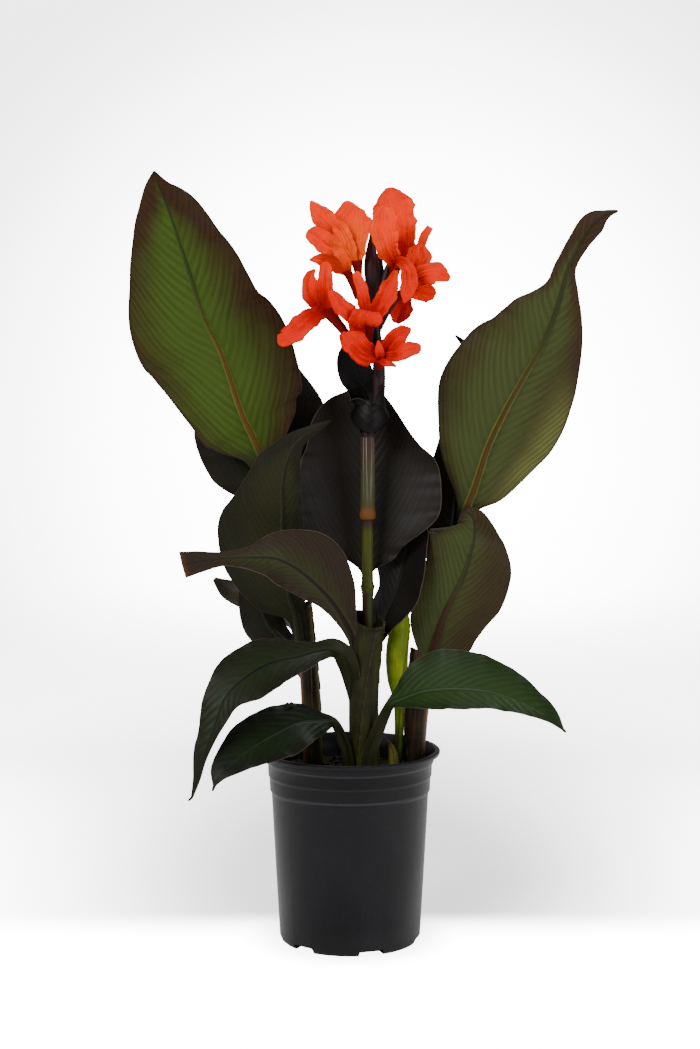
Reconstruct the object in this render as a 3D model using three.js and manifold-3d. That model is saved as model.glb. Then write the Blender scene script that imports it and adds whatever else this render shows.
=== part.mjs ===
// A bronze-leaved canna in flower, standing in the black nursery pot that it is sold in.
// Millimetres, +Z up. The origin is the middle of the pot's foot, and -Y is the side that is seen first.
import * as THREE from 'three';
import { mergeVertices } from 'three/addons/utils/BufferGeometryUtils.js';
import Module from 'manifold-3d';

const wasm = await Module();
wasm.setup();

// Driving dimensions.
const GAP = 0.3;
const POT_HEIGHT = 177;
const RIM_RADIUS = 82.5;
const RIM_ROLL = 5;
const UPPER_BAND_RADIUS = 74.5;
const LOWER_BAND_RADIUS = 73.3;
const BODY_TOP_RADIUS = 71.7;
const BODY_FOOT_RADIUS = 64.5;
const FOOT_RADIUS = 62.5;
const FOOT_BEVEL = 5;
const POT_WALL = 1.5;
const POT_SIDES = 48;
const BAND_STEP = 2;
const NECK_FLARE = 1.5;
const ROLL_STEPS = 5;
const SLOT_COUNT = 6;
const SLOT_WIDTH = 23;
const SLOT_HEIGHT = 6;
const SLOT_DEPTH = 14;
const FIRST_SLOT = THREE.MathUtils.degToRad(18);
const SOIL_LEVEL = 157;
const SOIL_SWELL = 2.5;
const SOIL_RINGS = [0.8, 0.6, 0.4, 0.2, 0];
const SOIL_WAVES = [
  { x: 0.31, y: 0.27, start: 1, share: 0.6 },
  { x: 0.11, y: -0.17, start: 0, share: 0.4 },
];
const LEAF_THICKNESS = 0.9;
const PETAL_THICKNESS = 0.9;
const STEM_SIDES = 10;
const TUBE_SIDES = 8;
const STALK_SIDES = 6;
const STEPS_PER_ROW = 2;
const NARROWEST = 0.5;
const LEAST_REACH = 0.5;
const FULL_WAVE_WIDTH = 20;
const WAVE_LAG = 1.3;
const KEEL_TAPER = 1.2;
const WIDEST_KEEL = 0.3;

// Heights on the pot, from the foot up: where the two bands and the rim begin.
const LOWER_BAND_FOOT = 138;
const UPPER_BAND_FOOT = 153;
const NECK_FOOT = 165;

// Colours and finishes.
const POT_PLASTIC = { color: 0x232226, roughness: 0.5, metalness: 0 };
const SOIL = { color: 0x1c1612, roughness: 1, metalness: 0 };
const STEM_GREEN = { color: 0x3a3a1e, roughness: 0.5, metalness: 0 };
const SHOOT_GREEN = { color: 0x8a9a2e, roughness: 0.5, metalness: 0 };
const STALK_GREEN = { color: 0x6b8a2c, roughness: 0.45, metalness: 0 };
const SHEATH_BROWN = { color: 0x6a5a50, roughness: 0.65, metalness: 0 };
const SPRAY_PURPLE = { color: 0x3a1420, roughness: 0.5, metalness: 0 };
const LEAF_BRONZE = { color: 0x2c2a28, roughness: 0.45, metalness: 0 };
const LEAF_GREEN = { color: 0x46562a, roughness: 0.5, metalness: 0 };
const PETAL_RED = { color: 0xf2431f, roughness: 0.5, metalness: 0 };

// Stems: rows of x, y, z and radius along the middle line, from below the soil up.
const STEM_ROOT = 128;
const STEMS = {
  stem_centre: {
    rows: [
      [13, -5, STEM_ROOT, 13], [13, -5, 165, 13.5], [12, -5, 222, 13], [14, -5, 278, 14],
      [15, -5, 297, 16],
    ],
    finish: STEM_GREEN,
  },
  stem_left: {
    rows: [
      [-30, 27, STEM_ROOT, 9], [-34, 26, 160, 9], [-37, 25, 226, 8.5], [-41, 22, 273, 8],
      [-44, 20, 303, 8.5],
    ],
    finish: STEM_GREEN,
  },
  stem_right: {
    rows: [
      [54, 12, STEM_ROOT, 9], [59, 14, 160, 9], [61, 18, 205, 11], [65, 21, 236, 11],
      [65, 22, 262, 8],
    ],
    finish: STEM_GREEN,
  },
  young_shoot: {
    rows: [
      [38, 14, STEM_ROOT, 4], [44, 14, 162, 4], [45, 14, 212, 4.5], [43, 14, 240, 9],
      [43, 14, 265, 10], [46, 15, 290, 8], [48, 17, 312, 2],
    ],
    finish: SHOOT_GREEN,
  },
  sprout: {
    rows: [
      [41, -9, STEM_ROOT, 5], [40, -9, 160, 5], [38, -9, 176, 4], [34, -10, 186, 0.8],
    ],
    finish: SHOOT_GREEN,
  },
  flower_stalk: {
    rows: [
      [15, -2, 268, 5], [16, 0, 285, 5], [16, 0, 318, 5.3], [16, 0, 326, 6.6], [16, 0, 334, 5.2],
      [16, 0, 386, 5],
    ],
    finish: STALK_GREEN,
  },
  stalk_sheath: {
    rows: [
      [16, 0, 386, 6], [16, 0, 391, 7.4], [16, 0, 398, 6.6], [16, 0, 430, 6.4], [16, 0, 462, 6.2],
    ],
    finish: SHEATH_BROWN,
  },
};

// The hollow in the top of the middle stem, out of which the flower stalk comes.
const FUNNEL = [[15, -5, 282, 6], [15, -3, 300, 15]];

const RACHIS = [
  [16, 0, 462, 5.8], [19, 0, 478, 5.8], [25, 0, 497, 6], [26, 0, 527, 5.6], [24, 1, 550, 4.5],
  [22, 2, 574, 3],
];

// Buds that stand on top of the rachis, and the short stalks that carry the blooms.
const BUDS = [
  [[22, 2, 566, 3], [21, 1, 596, 7], [19, 0, 618, 6.5], [19, 0, 646, 0.8]],
  [[23, 3, 566, 3], [30, 4, 596, 6], [35, 5, 620, 0.8]],
  [[22, 4, 566, 3], [25, 10, 602, 6], [27, 12, 634, 0.8]],
];
const BLOOM_STALKS = [
  [[23, 1, 560, 2.6], [14, -2, 588, 2.2], [8, -6, 604, 2.4]],
  [[23, 1, 550, 2.6], [14, -2, 574, 2.2], [7, -4, 588, 2.4]],
  [[23, 1, 566, 2.6], [33, 0, 588, 2.2], [38, -1, 600, 2.4]],
  [[24, 1, 555, 2.6], [36, -1, 577, 2.2], [44, -2, 587, 2.4]],
  [[25, 0, 535, 2.8], [19, -6, 545, 2.6], [17, -9, 552, 3]],
  [[25, 0, 530, 2.8], [12, -5, 542, 2.6], [1, -8, 551, 3]],
  [[26, 0, 512, 2.8], [26, -8, 522, 2.6], [26, -12, 527, 3]],
];

// Leaves: rows of x, y, z along the midrib from the petiole's root to the tip, each with the half
// width on the left and on the right of it, as seen from the side that faces -Y. A fold tips both
// halves toward that side, and a curl bends them further; both are angles in radians.
const LEAVES = {
  leaf_upper_left: {
    rows: [
      [-41, 20, 285, 5, 5], [-48, 22, 311, 5, 5], [-61, 28, 365, 5, 5], [-73, 32, 409, 6, 6],
      [-81, 30, 441, 16, 19], [-90, 27, 463, 39, 44], [-99, 22, 483, 48, 59], [-116, 10, 536, 68, 63],
      [-131, -2, 569, 69, 54], [-142, -16, 607, 56, 46], [-150, -28, 634, 45, 36], [-159, -40, 663, 30, 25],
      [-166, -48, 682, 15, 10], [-170, -54, 696, 0.8, 0.8],
    ],
    face: [0, -1, 0], fold: -0.12, curl: -0.2, wave: [2, 3], rib: [4.5, 7], underside: true,
  },
  leaf_back_left: {
    rows: [
      [-41, 30, 282, 5, 5], [-48, 42, 308, 5, 5], [-63, 50, 358, 5, 5], [-82, 58, 397, 7, 7],
      [-87, 62, 420, 41, 32], [-86, 68, 455, 60, 56], [-82, 76, 487, 56, 59], [-83, 84, 529, 43, 29],
      [-88, 92, 570, 26, 12], [-98, 97, 600, 0.8, 0.8],
    ],
    face: [0, -1, 0], fold: -0.1, curl: -0.2, wave: [2, 2], rib: [4.5, 6], underside: true,
  },
  leaf_mid_left: {
    rows: [
      [-42, 16, 256, 5, 5], [-46, 10, 275, 6, 6], [-49, 4, 297, 9, 8], [-54, 0, 316, 35, 16],
      [-57, -6, 340, 51, 20], [-60, -12, 370, 57, 20], [-60, -18, 397, 53, 18], [-60, -22, 420, 35, 17],
      [-56, -24, 441, 24, 13], [-45, -26, 461, 9, 7], [-17, -28, 478, 0.8, 0.8],
    ],
    face: [0.2, -1, -0.1], fold: -0.15, curl: -0.2, wave: [1.5, 2], rib: [4.5, 5], underside: true,
  },
  leaf_twisted: {
    rows: [
      [9, -8, 251, 5, 5], [3, -14, 279, 5, 6], [-6, -22, 299, 7, 13], [-18, -30, 318, 11, 27],
      [-34, -40, 336, 18, 38], [-49, -49, 349, 21, 37], [-66, -58, 358, 21, 25], [-86, -66, 360, 13, 11],
      [-109, -74, 360, 7, 6], [-131, -80, 358, 10, 9], [-146, -84, 355, 12, 12],
    ],
    face: [-0.1, -0.95, 0.3], fold: 0.1, curl: 0.15, wave: [1, 2], rib: [4, 4],
  },
  leaf_small_back: {
    rows: [
      [-42, 31, 269, 4, 4], [-55, 57, 283, 4, 4], [-70, 68, 295, 12, 12], [-94, 77, 306, 14, 13],
      [-114, 84, 313, 11, 9], [-129, 88, 322, 2, 2],
    ],
    face: [0, -0.9, 0.4], fold: 0.1, curl: 0.1, wave: [1, 2], rib: [3, 4],
  },
  leaf_back_low: {
    rows: [
      [-39, 30, 235, 5, 5], [-58, 42, 265, 9, 9], [-75, 46, 283, 22, 15], [-84, 50, 305, 20, 19],
      [-84, 52, 331, 15, 15], [-78, 52, 355, 0.8, 0.8],
    ],
    face: [0, -1, 0.2], fold: -0.1, curl: -0.1, wave: [1, 2], rib: [3.5, 4], underside: true,
  },
  leaf_droop_left: {
    rows: [
      [7, -8, 212, 5, 5], [1, -14, 242, 7, 9], [-5, -22, 262, 8, 11], [-15, -29, 272, 8, 11],
      [-29, -37, 272, 11, 10], [-45, -46, 269, 17, 16], [-71, -60, 265, 27, 26], [-92, -72, 254, 29, 28],
      [-109, -80, 238, 17, 20], [-119, -85, 212, 8, 14], [-128, -87, 187, 4, 10], [-134, -86, 166, 3, 4],
      [-139, -84, 149, 0.8, 0.8],
    ],
    face: [-0.25, -0.8, 0.55], fold: 0.1, curl: 0.1, wave: [1, 3], rib: [4, 5],
  },
  leaf_low_left: {
    rows: [
      [-1, -19, 133, 5, 5], [-2, -20, 171, 5, 5], [-7, -22, 190, 5, 5], [-15, -28, 206, 5, 5],
      [-29, -38, 209, 15, 13], [-47, -49, 209, 26, 24], [-66, -62, 202, 29, 28], [-85, -74, 193, 23, 26],
      [-100, -84, 183, 16, 20], [-112, -91, 173, 7, 12], [-119, -94, 162, 0.8, 0.8],
    ],
    face: [-0.1, -0.75, 0.65], fold: 0.08, curl: 0.05, wave: [1, 3], rib: [4, 5],
  },
  leaf_centre: {
    rows: [
      [14, 6, 320, 3, 3], [15, 12, 337, 5, 5], [15, 16, 348, 18, 24], [15, 18, 360, 36, 33],
      [15, 20, 374, 57, 52], [15, 22, 389, 62, 66], [15, 26, 412, 62, 68], [15, 30, 434, 60, 64],
      [15, 34, 451, 54, 48], [15, 38, 471, 50, 34], [15, 42, 489, 38, 23], [15, 45, 501, 18, 13],
      [15, 46, 510, 2, 2],
    ],
    face: [0, -1, 0.15], fold: 0.08, curl: 0.35, wave: [1.5, 3], rib: [4, 6],
  },
  leaf_clasping: {
    rows: [
      [16, 7, 463, 10.5, 10.5], [17, 12, 473, 17, 17], [18, 16, 484, 22, 22], [18, 16, 493, 20, 20],
      [15, 17, 501, 17, 17], [9, 17, 509, 13, 16], [5, 16, 518, 15, 16], [2, 13, 532, 14, 14],
      [2, 11, 546, 8, 8], [2, 10, 556, 0.8, 0.8],
    ],
    face: [0, -1, 0], fold: 0, curl: [3.05, 3.05, 3.05, 2.9, 1.7, 0.9, 0.5, 0.4, 0.3, 0.2],
    wave: [0, 1], rib: [2, 3], quarters: [0.3, 0.65],
  },
  leaf_upper_right: {
    rows: [
      [68, 26, 226, 5, 5], [76, 30, 254, 5, 5], [90, 38, 309, 5, 5], [99, 40, 355, 5, 5],
      [104, 38, 381, 6, 6], [108, 34, 396, 10, 12], [115, 28, 416, 27, 33], [125, 18, 450, 48, 52],
      [139, 6, 483, 65, 57], [157, -6, 518, 62, 50], [171, -16, 544, 50, 38], [181, -26, 571, 37, 26],
      [187, -32, 593, 17, 15], [192, -36, 613, 12, 7], [201, -40, 633, 11, 8], [213, -44, 651, 11, 10],
      [224, -46, 659, 4, 4], [234, -46, 662, 0.8, 0.8],
    ],
    face: [0, -1, 0], fold: -0.15, curl: -0.2, wave: [2, 3], rib: [4.5, 7], underside: true,
  },
  leaf_mid_right: {
    rows: [
      [65, 18, 211, 5, 5], [71, 15, 239, 6, 6], [74, 13, 258, 11, 15], [77, 12, 270, 19, 33],
      [82, 10, 287, 28, 37], [91, 8, 310, 33, 44], [101, 8, 330, 35, 46], [109, 10, 353, 37, 41],
      [113, 14, 371, 40, 28], [112, 22, 386, 33, 13], [103, 24, 395, 0.8, 0.8],
    ],
    face: [0.1, -1, 0.1], fold: -0.12, curl: -0.15, wave: [1.5, 3], rib: [4.5, 6], underside: true,
  },
  leaf_back_right: {
    rows: [
      [65, 28, 235, 5, 5], [76, 42, 256, 5, 5], [88, 58, 306, 5, 5], [93, 62, 343, 22, 8],
      [96, 64, 373, 29, 12], [98, 66, 394, 34, 24], [100, 69, 417, 29, 28], [103, 74, 450, 21, 28],
      [110, 80, 487, 19, 23], [117, 86, 518, 11, 13], [112, 90, 538, 5, 5], [99, 94, 552, 0.8, 0.8],
    ],
    face: [0, -1, 0], fold: 0.1, curl: 0.2, wave: [1.5, 3], rib: [4, 5],
  },
  leaf_folded: {
    rows: [
      [20, -2, 263, 6, 6], [25, 2, 280, 8, 10], [34, 8, 301, 14, 22], [43, 14, 321, 16, 29],
      [49, 22, 343, 22, 28], [54, 30, 365, 20, 24], [59, 36, 388, 12, 15], [63, 40, 406, 0.8, 0.8],
    ],
    face: [-0.45, -0.9, 0], fold: 0.25, curl: 0.4, wave: [0.5, 2], rib: [4, 5],
  },
  leaf_low_right: {
    rows: [
      [15, -21, 133, 5, 5], [16, -21, 169, 6, 6], [23, -21, 191, 6, 6], [31, -22, 211, 5, 5],
      [37, -26, 222, 6, 5], [47, -32, 228, 19, 9], [67, -43, 237, 36, 19], [93, -54, 241, 38, 24],
      [119, -64, 241, 33, 22], [142, -72, 236, 24, 16], [162, -78, 228, 15, 10], [176, -82, 220, 9, 5],
      [187, -84, 210, 0.8, 0.8],
    ],
    face: [0.1, -0.75, 0.65], fold: 0.1, curl: 0.1, wave: [1, 3], rib: [4, 6],
  },
};

// Blooms: the tube that the petals grow from, as rows of x, y, z and radius, and the petals, as rows
// like those of a leaf.
const BLOOMS = {
  bloom_top_left: {
    tube: [[8, -6, 602, 2.8], [7, -8, 612, 4], [6, -10, 620, 5.5]],
    petals: [
      [
        [5, -10, 616, 3, 3], [-8, -16, 638, 12, 11], [-21, -20, 652, 11, 11], [-30, -20, 664, 6, 7],
        [-35, -18, 672, 0.8, 0.8],
      ],
      [
        [7, -8, 615, 3, 3], [4, -14, 633, 13, 11], [2, -14, 650, 18, 18], [4, -12, 661, 15, 15],
        [8, -10, 667, 7, 6],
      ],
      [
        [3, -9, 617, 3, 3], [-11, -18, 629, 7, 7], [-25, -24, 637, 10, 10], [-35, -25, 643, 6, 7],
        [-38, -25, 645, 2, 2],
      ],
    ],
  },
  bloom_left_curl: {
    tube: [[7, -4, 586, 2.8], [2, -6, 600, 3.4], [-3, -9, 611, 4.5]],
    petals: [
      [
        [-2, -8, 608, 3, 3], [-13, -14, 616, 7, 6], [-25, -18, 621, 7, 5],
        [-36, -18, 620, 0.8, 0.8],
      ],
      [[-2, -9, 609, 3, 3], [-3, -20, 616, 4, 4], [-8, -28, 624, 4, 4], [-14, -29, 626, 2, 2]],
    ],
  },
  bloom_top_right: {
    tube: [[38, -1, 598, 2.8], [40, -3, 610, 4.5], [41, -5, 618, 6]],
    petals: [
      [
        [41, -3, 614, 4, 4], [45, 3, 634, 11, 13], [43, 6, 652, 20, 16], [39, 6, 667, 20, 18],
        [36, 4, 679, 11, 12], [35, 2, 685, 3, 3],
      ],
      [
        [41, -7, 614, 4, 4], [34, -22, 629, 10, 9], [30, -27, 645, 12, 12], [30, -24, 659, 10, 11],
        [32, -20, 666, 4, 4],
      ],
      [
        [39, -8, 616, 4, 4], [45, -20, 619, 4, 5], [52, -28, 609, 7, 7], [51, -29, 593, 7, 7],
        [48, -27, 582, 0.8, 0.8],
      ],
    ],
  },
  bloom_right: {
    tube: [[44, -2, 585, 2.8], [49, -4, 593, 4], [53, -5, 600, 5]],
    petals: [
      [
        [52, -5, 597, 3, 3], [57, -8, 611, 9, 8], [61, -8, 623, 11, 11], [62, -6, 631, 7, 7],
        [62, -6, 635, 2, 2],
      ],
      [
        [52, -6, 598, 3, 3], [63, -12, 606, 9, 9], [76, -13, 609, 9, 10], [85, -12, 605, 5, 5],
        [89, -12, 603, 2, 2],
      ],
      [[52, -5, 597, 3, 3], [61, -6, 593, 9, 9], [70, -5, 591, 8, 9], [76, -4, 588, 3, 3]],
      [[53, -3, 598, 2, 2], [60, 3, 622, 3, 3], [66, 4, 640, 4, 4], [72, 4, 650, 3, 3]],
      [[51, -3, 596, 4, 4], [47, 6, 585, 10, 9], [44, 9, 572, 10, 9], [41, 8, 564, 3, 3]],
    ],
  },
  bloom_centre: {
    tube: [[17, -9, 550, 3.4], [16, -13, 558, 5], [16, -17, 567, 7]],
    petals: [
      [
        [15, -17, 564, 4, 4], [13, -22, 583, 6, 5], [10, -23, 596, 5, 5], [6, -21, 606, 4, 4],
        [4, -20, 609, 2, 2],
      ],
      [
        [17, -17, 565, 4, 4], [26, -20, 579, 7, 9], [34, -18, 593, 8, 9], [39, -15, 605, 4, 4],
        [41, -13, 611, 2, 2],
      ],
      [
        [15, -18, 564, 5, 5], [6, -26, 569, 8, 7], [-5, -32, 577, 8, 7], [-13, -33, 586, 6, 6],
        [-18, -32, 593, 2, 2],
      ],
      [[16, -14, 558, 5, 5], [14, -24, 562, 14, 11], [15, -29, 570, 16, 13], [16, -28, 575, 10, 9]],
    ],
  },
  bloom_left: {
    tube: [[1, -8, 549, 3.4], [-10, -13, 563, 4.5], [-21, -18, 576, 6]],
    petals: [
      [
        [-20, -18, 574, 3, 3], [-21, -24, 591, 9, 6], [-21, -26, 603, 8, 6], [-22, -25, 614, 5, 5],
        [-23, -25, 618, 2, 2],
      ],
      [
        [-21, -17, 574, 3, 3], [-32, -20, 585, 8, 10], [-37, -20, 597, 6, 9], [-36, -19, 606, 4, 6],
        [-31, -18, 612, 0.8, 0.8],
      ],
      [
        [-20, -18, 574, 3, 3], [-36, -30, 568, 9, 9], [-48, -36, 558, 10, 9], [-58, -38, 551, 8, 7],
        [-64, -38, 551, 3, 3],
      ],
    ],
  },
  bloom_low: {
    tube: [[26, -12, 525, 3.4], [27, -17, 530, 4.2], [28, -21, 536, 5.5]],
    petals: [
      [
        [26, -20, 534, 4, 4], [14, -30, 539, 12, 9], [3, -34, 547, 11, 11], [-5, -34, 553, 6, 6],
        [-7, -34, 556, 2, 2],
      ],
      [
        [29, -19, 535, 4, 4], [36, -24, 545, 8, 9], [44, -26, 554, 8, 8], [51, -26, 558, 4, 4],
        [54, -26, 560, 0.8, 0.8],
      ],
      [
        [29, -21, 534, 4, 3], [41, -30, 534, 6, 4], [51, -34, 540, 7, 6], [60, -34, 542, 5, 5],
        [63, -34, 542, 2, 2],
      ],
      [[27, -22, 533, 3, 3], [26, -29, 541, 4, 4], [25, -30, 549, 0.8, 0.8]],
      [[26, -22, 532, 2, 2], [31, -32, 529, 3, 3], [37, -36, 528, 2, 2], [41, -36, 526, 0.8, 0.8]],
    ],
  },
};
const PETAL = { face: [0, -1, 0.1], fold: 0.15, curl: 0.4, wave: [0.8, 2], rib: [0, 0] };

// Joins rings of points, all of one length, into a closed body. Point k of a ring lies across from
// point length - 1 - k, so that both ends close with a strip, and a flat section is split along the
// same diagonals above and below.
function loft(rings) {
  const size = rings[0].length;
  const triangles = [];
  for (let ring = 0; ring + 1 < rings.length; ring += 1) {
    for (let k = 0; k < size; k += 1) {
      const a = ring * size + k;
      const b = ring * size + ((k + 1) % size);
      const c = b + size;
      const d = a + size;
      if (k < size / 2) triangles.push([a, b, c], [a, c, d]);
      else triangles.push([a, b, d], [b, c, d]);
    }
  }
  const last = (rings.length - 1) * size;
  for (let k = 0; k + 1 < size / 2; k += 1) {
    const across = size - 1 - k;
    triangles.push([k + 1, k, across], [k + 1, across, across - 1]);
    triangles.push([last + k, last + k + 1, last + across]);
    triangles.push([last + k + 1, last + across - 1, last + across]);
  }
  return manifold(rings.flat().flatMap((point) => point.toArray()), triangles.flat());
}

function manifold(coordinates, indices) {
  const at = (i) => new THREE.Vector3().fromArray(coordinates, 3 * i);
  let volume = 0;
  for (let i = 0; i < indices.length; i += 3) {
    volume += at(indices[i]).dot(at(indices[i + 1]).cross(at(indices[i + 2])));
  }
  const outward = volume > 0 ? indices : [...indices].reverse();
  const mesh = new wasm.Mesh({
    numProp: 3,
    vertProperties: Float32Array.from(coordinates),
    triVerts: Uint32Array.from(outward),
  });
  return new wasm.Manifold(mesh);
}

// A geometry of three.js as a solid, with its seams and poles closed.
function solid(geometry) {
  const bare = geometry.clone();
  bare.deleteAttribute('normal');
  bare.deleteAttribute('uv');
  const merged = mergeVertices(bare, 1e-3);
  const kept = [];
  for (let i = 0; i < merged.index.count; i += 3) {
    const [a, b, c] = [0, 1, 2].map((k) => merged.index.getX(i + k));
    if (a !== b && b !== c && c !== a) kept.push(a, b, c);
  }
  return manifold(Array.from(merged.attributes.position.array), kept);
}

// The largest body that a cut leaves, without the loose scraps.
function largest(body) {
  return body.decompose().reduce((best, next) => (next.volume() > best.volume() ? next : best));
}

function union(bodies) {
  return bodies.reduce((whole, next) => whole.add(next));
}

function without(body, others) {
  return largest(others.reduce((left, other) => left.subtract(other), body));
}

// A smooth line through rows of numbers: the three from first on, as a vector for each row.
function lineThrough(rows, first) {
  const points = rows.map((row) => (
    new THREE.Vector3(row[first], row[first + 1] ?? 0, row[first + 2] ?? 0)
  ));
  return new THREE.CatmullRomCurve3(points, false, 'catmullrom', 0.5);
}

// A round stem along rows of x, y, z and radius, made wider and longer by grow.
function stem(rows, { grow = 0, sides = STEM_SIDES } = {}) {
  const middle = lineThrough(rows, 0);
  const radii = lineThrough(rows, 3);
  const count = (rows.length - 1) * STEPS_PER_ROW;
  const rings = Array.from({ length: count + 1 }, (_, i) => {
    const t = i / count;
    const along = middle.getTangent(t);
    const side = new THREE.Vector3(1, 0, 0).addScaledVector(along, -along.x).normalize();
    const back = along.clone().cross(side);
    const radius = Math.max(radii.getPoint(t).x, NARROWEST) + grow;
    const lengthening = grow * (Number(i === count) - Number(i === 0));
    const centre = middle.getPoint(t).addScaledVector(along, lengthening);
    return Array.from({ length: sides }, (_, k) => {
      const angle = (2 * Math.PI * (k + 0.5)) / sides;
      return centre.clone()
        .addScaledVector(side, radius * Math.cos(angle))
        .addScaledVector(back, radius * Math.sin(angle));
    });
  });
  return loft(rings);
}

// How far a point of a blade's section lies from its midrib, sideways and toward the shown side. A
// half width is measured straight across, so that a bent section is longer than it.
function sectionPoint(width, part, fold, bend) {
  const reach = (Math.sin(fold + bend) - Math.sin(fold)) / bend;
  const length = width / Math.max(reach, LEAST_REACH);
  return {
    side: (length * (Math.sin(fold + bend * part) - Math.sin(fold))) / bend,
    rise: (length * (Math.cos(fold) - Math.cos(fold + bend * part))) / bend,
  };
}

// The middle surface of a leaf or petal: one row of points across it for each row of its numbers,
// from the left margin to the right one. The columns are shares of the half widths.
function surface({ rows, face, fold, curl, wave }, columns) {
  const midrib = lineThrough(rows, 0);
  const widths = lineThrough(rows, 3);
  const bends = lineThrough(rows.map((_, i) => [fold, curl[i] ?? curl]), 0);
  const toward = new THREE.Vector3(...face);
  const [waveHeight, waveCount] = wave;
  return rows.map((_, i) => {
    const t = i / (rows.length - 1);
    const along = midrib.getTangent(t);
    const out = toward.clone().addScaledVector(along, -along.dot(toward)).normalize();
    const right = along.clone().cross(out);
    const half = widths.getPoint(t);
    const bend = bends.getPoint(t);
    return columns(t, half.x, half.y).map((q) => {
      const width = Math.max(q < 0 ? half.x : half.y, NARROWEST);
      const { side, rise } = sectionPoint(width, Math.abs(q), bend.x, bend.y);
      const height = waveHeight * Math.min(width / FULL_WAVE_WIDTH, 1) * q * q;
      const ripple = height * Math.sin(2 * Math.PI * waveCount * t + WAVE_LAG * q);
      return midrib.getPoint(t)
        .addScaledVector(right, Math.sign(q) * side)
        .addScaledVector(out, rise + ripple);
    });
  });
}

// The direction in which the shown side of a surface faces at one of its points.
function facing(grid, i, j) {
  const row = grid[i];
  const across = row[Math.min(j + 1, row.length - 1)].clone().sub(row[Math.max(j - 1, 0)]);
  const along = grid[Math.min(i + 1, grid.length - 1)][j].clone().sub(grid[Math.max(i - 1, 0)][j]);
  return across.cross(along).normalize();
}

// A blade with a keel along the underside of its midrib, which narrows from the petiole to the tip.
// A petal has no keel.
function blade(leaf, { grow = 0, thickness = LEAF_THICKNESS } = {}) {
  const [keelWidth, keelDepth] = leaf.rib;
  const quarters = leaf.quarters ?? [0.5];
  const keel = (t) => (1 - t) ** KEEL_TAPER;
  const columns = (t, left, right) => {
    const margin = (width) => [...quarters, 1].map((q) => q * (1 + grow / Math.max(width, 1)));
    const beside = (width) => (
      Math.min((keelWidth * keel(t) + thickness / 2) / Math.max(width, 1), WIDEST_KEEL)
    );
    const ridge = keelWidth === 0 ? [0] : [-beside(left), 0, beside(right)];
    return [...margin(left).reverse().map((q) => -q), ...ridge, ...margin(right)];
  };
  const grid = surface(leaf, columns);
  const half = thickness / 2 + grow;
  const rings = grid.map((row, i) => {
    const depth = keelDepth * keel(i / (grid.length - 1));
    const middle = (row.length - 1) / 2;
    const offset = (j, sign, deep) => (
      row[j].clone().addScaledVector(facing(grid, i, j), sign * (half + (deep && j === middle ? depth : 0)))
    );
    const shown = row.map((_, j) => offset(j, 1, leaf.underside));
    const hidden = row.map((_, j) => offset(j, -1, !leaf.underside));
    return [...shown, ...hidden.reverse()];
  });
  const lengthening = grid[0][0].clone().sub(grid[1][0]).setLength(grow);
  for (const point of rings[0]) point.add(lengthening);
  return loft(rings);
}

function mesh(name, body, finish) {
  const { vertProperties, triVerts } = body.getMesh();
  const geometry = new THREE.BufferGeometry();
  geometry.setAttribute('position', new THREE.BufferAttribute(Float32Array.from(vertProperties), 3));
  geometry.setIndex(Array.from(triVerts));
  geometry.computeVertexNormals();
  const made = new THREE.Mesh(geometry, new THREE.MeshStandardMaterial(finish));
  made.name = name;
  return made;
}

// A body turned from a profile of radius and height pairs that starts and ends on the axis.
function turned(profile) {
  const points = profile.map(([radius, height]) => new THREE.Vector2(radius, height));
  return new THREE.LatheGeometry(points, POT_SIDES).rotateX(Math.PI / 2);
}

// The pot: a tapered wall that steps out to two bands, a rolled rim, a floor, and slots for drainage
// cut into the foot.
function makePot() {
  const inner = (radius) => radius - POT_WALL;
  const half = RIM_ROLL / 2;
  const lip = RIM_RADIUS - RIM_ROLL;
  const rimFoot = POT_HEIGHT - RIM_ROLL;
  const roll = Array.from({ length: ROLL_STEPS + 1 }, (_, i) => {
    const angle = (Math.PI * i) / ROLL_STEPS - Math.PI / 2;
    return [
      RIM_RADIUS - half + half * Math.cos(angle),
      POT_HEIGHT - half + half * Math.sin(angle),
    ];
  });
  const wall = turned([
    [0, 0],
    [FOOT_RADIUS, 0],
    [BODY_FOOT_RADIUS, FOOT_BEVEL],
    [BODY_TOP_RADIUS, LOWER_BAND_FOOT],
    [LOWER_BAND_RADIUS, LOWER_BAND_FOOT + BAND_STEP],
    [LOWER_BAND_RADIUS, UPPER_BAND_FOOT - BAND_STEP],
    [UPPER_BAND_RADIUS, UPPER_BAND_FOOT],
    [UPPER_BAND_RADIUS, NECK_FOOT - BAND_STEP / 2],
    [UPPER_BAND_RADIUS + NECK_FLARE, NECK_FOOT + BAND_STEP / 2],
    [lip, rimFoot - BAND_STEP / 2],
    ...roll,
    [lip, rimFoot + BAND_STEP],
    [inner(UPPER_BAND_RADIUS), NECK_FOOT + BAND_STEP],
    [inner(UPPER_BAND_RADIUS), UPPER_BAND_FOOT + BAND_STEP / 2],
    [inner(LOWER_BAND_RADIUS), UPPER_BAND_FOOT - BAND_STEP / 2],
    [inner(LOWER_BAND_RADIUS), LOWER_BAND_FOOT + BAND_STEP * 1.5],
    [inner(BODY_TOP_RADIUS), LOWER_BAND_FOOT],
    [inner(BODY_FOOT_RADIUS), FOOT_BEVEL],
    [inner(FOOT_RADIUS), POT_WALL],
    [0, POT_WALL],
  ]);
  const slots = Array.from({ length: SLOT_COUNT }, (_, i) => {
    const angle = FIRST_SLOT + (2 * Math.PI * i) / SLOT_COUNT;
    const slot = new THREE.BoxGeometry(SLOT_WIDTH, SLOT_DEPTH, 2 * SLOT_HEIGHT);
    return solid(slot.translate(0, -FOOT_RADIUS, 0).rotateZ(angle));
  });
  return without(solid(wall), slots);
}

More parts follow.
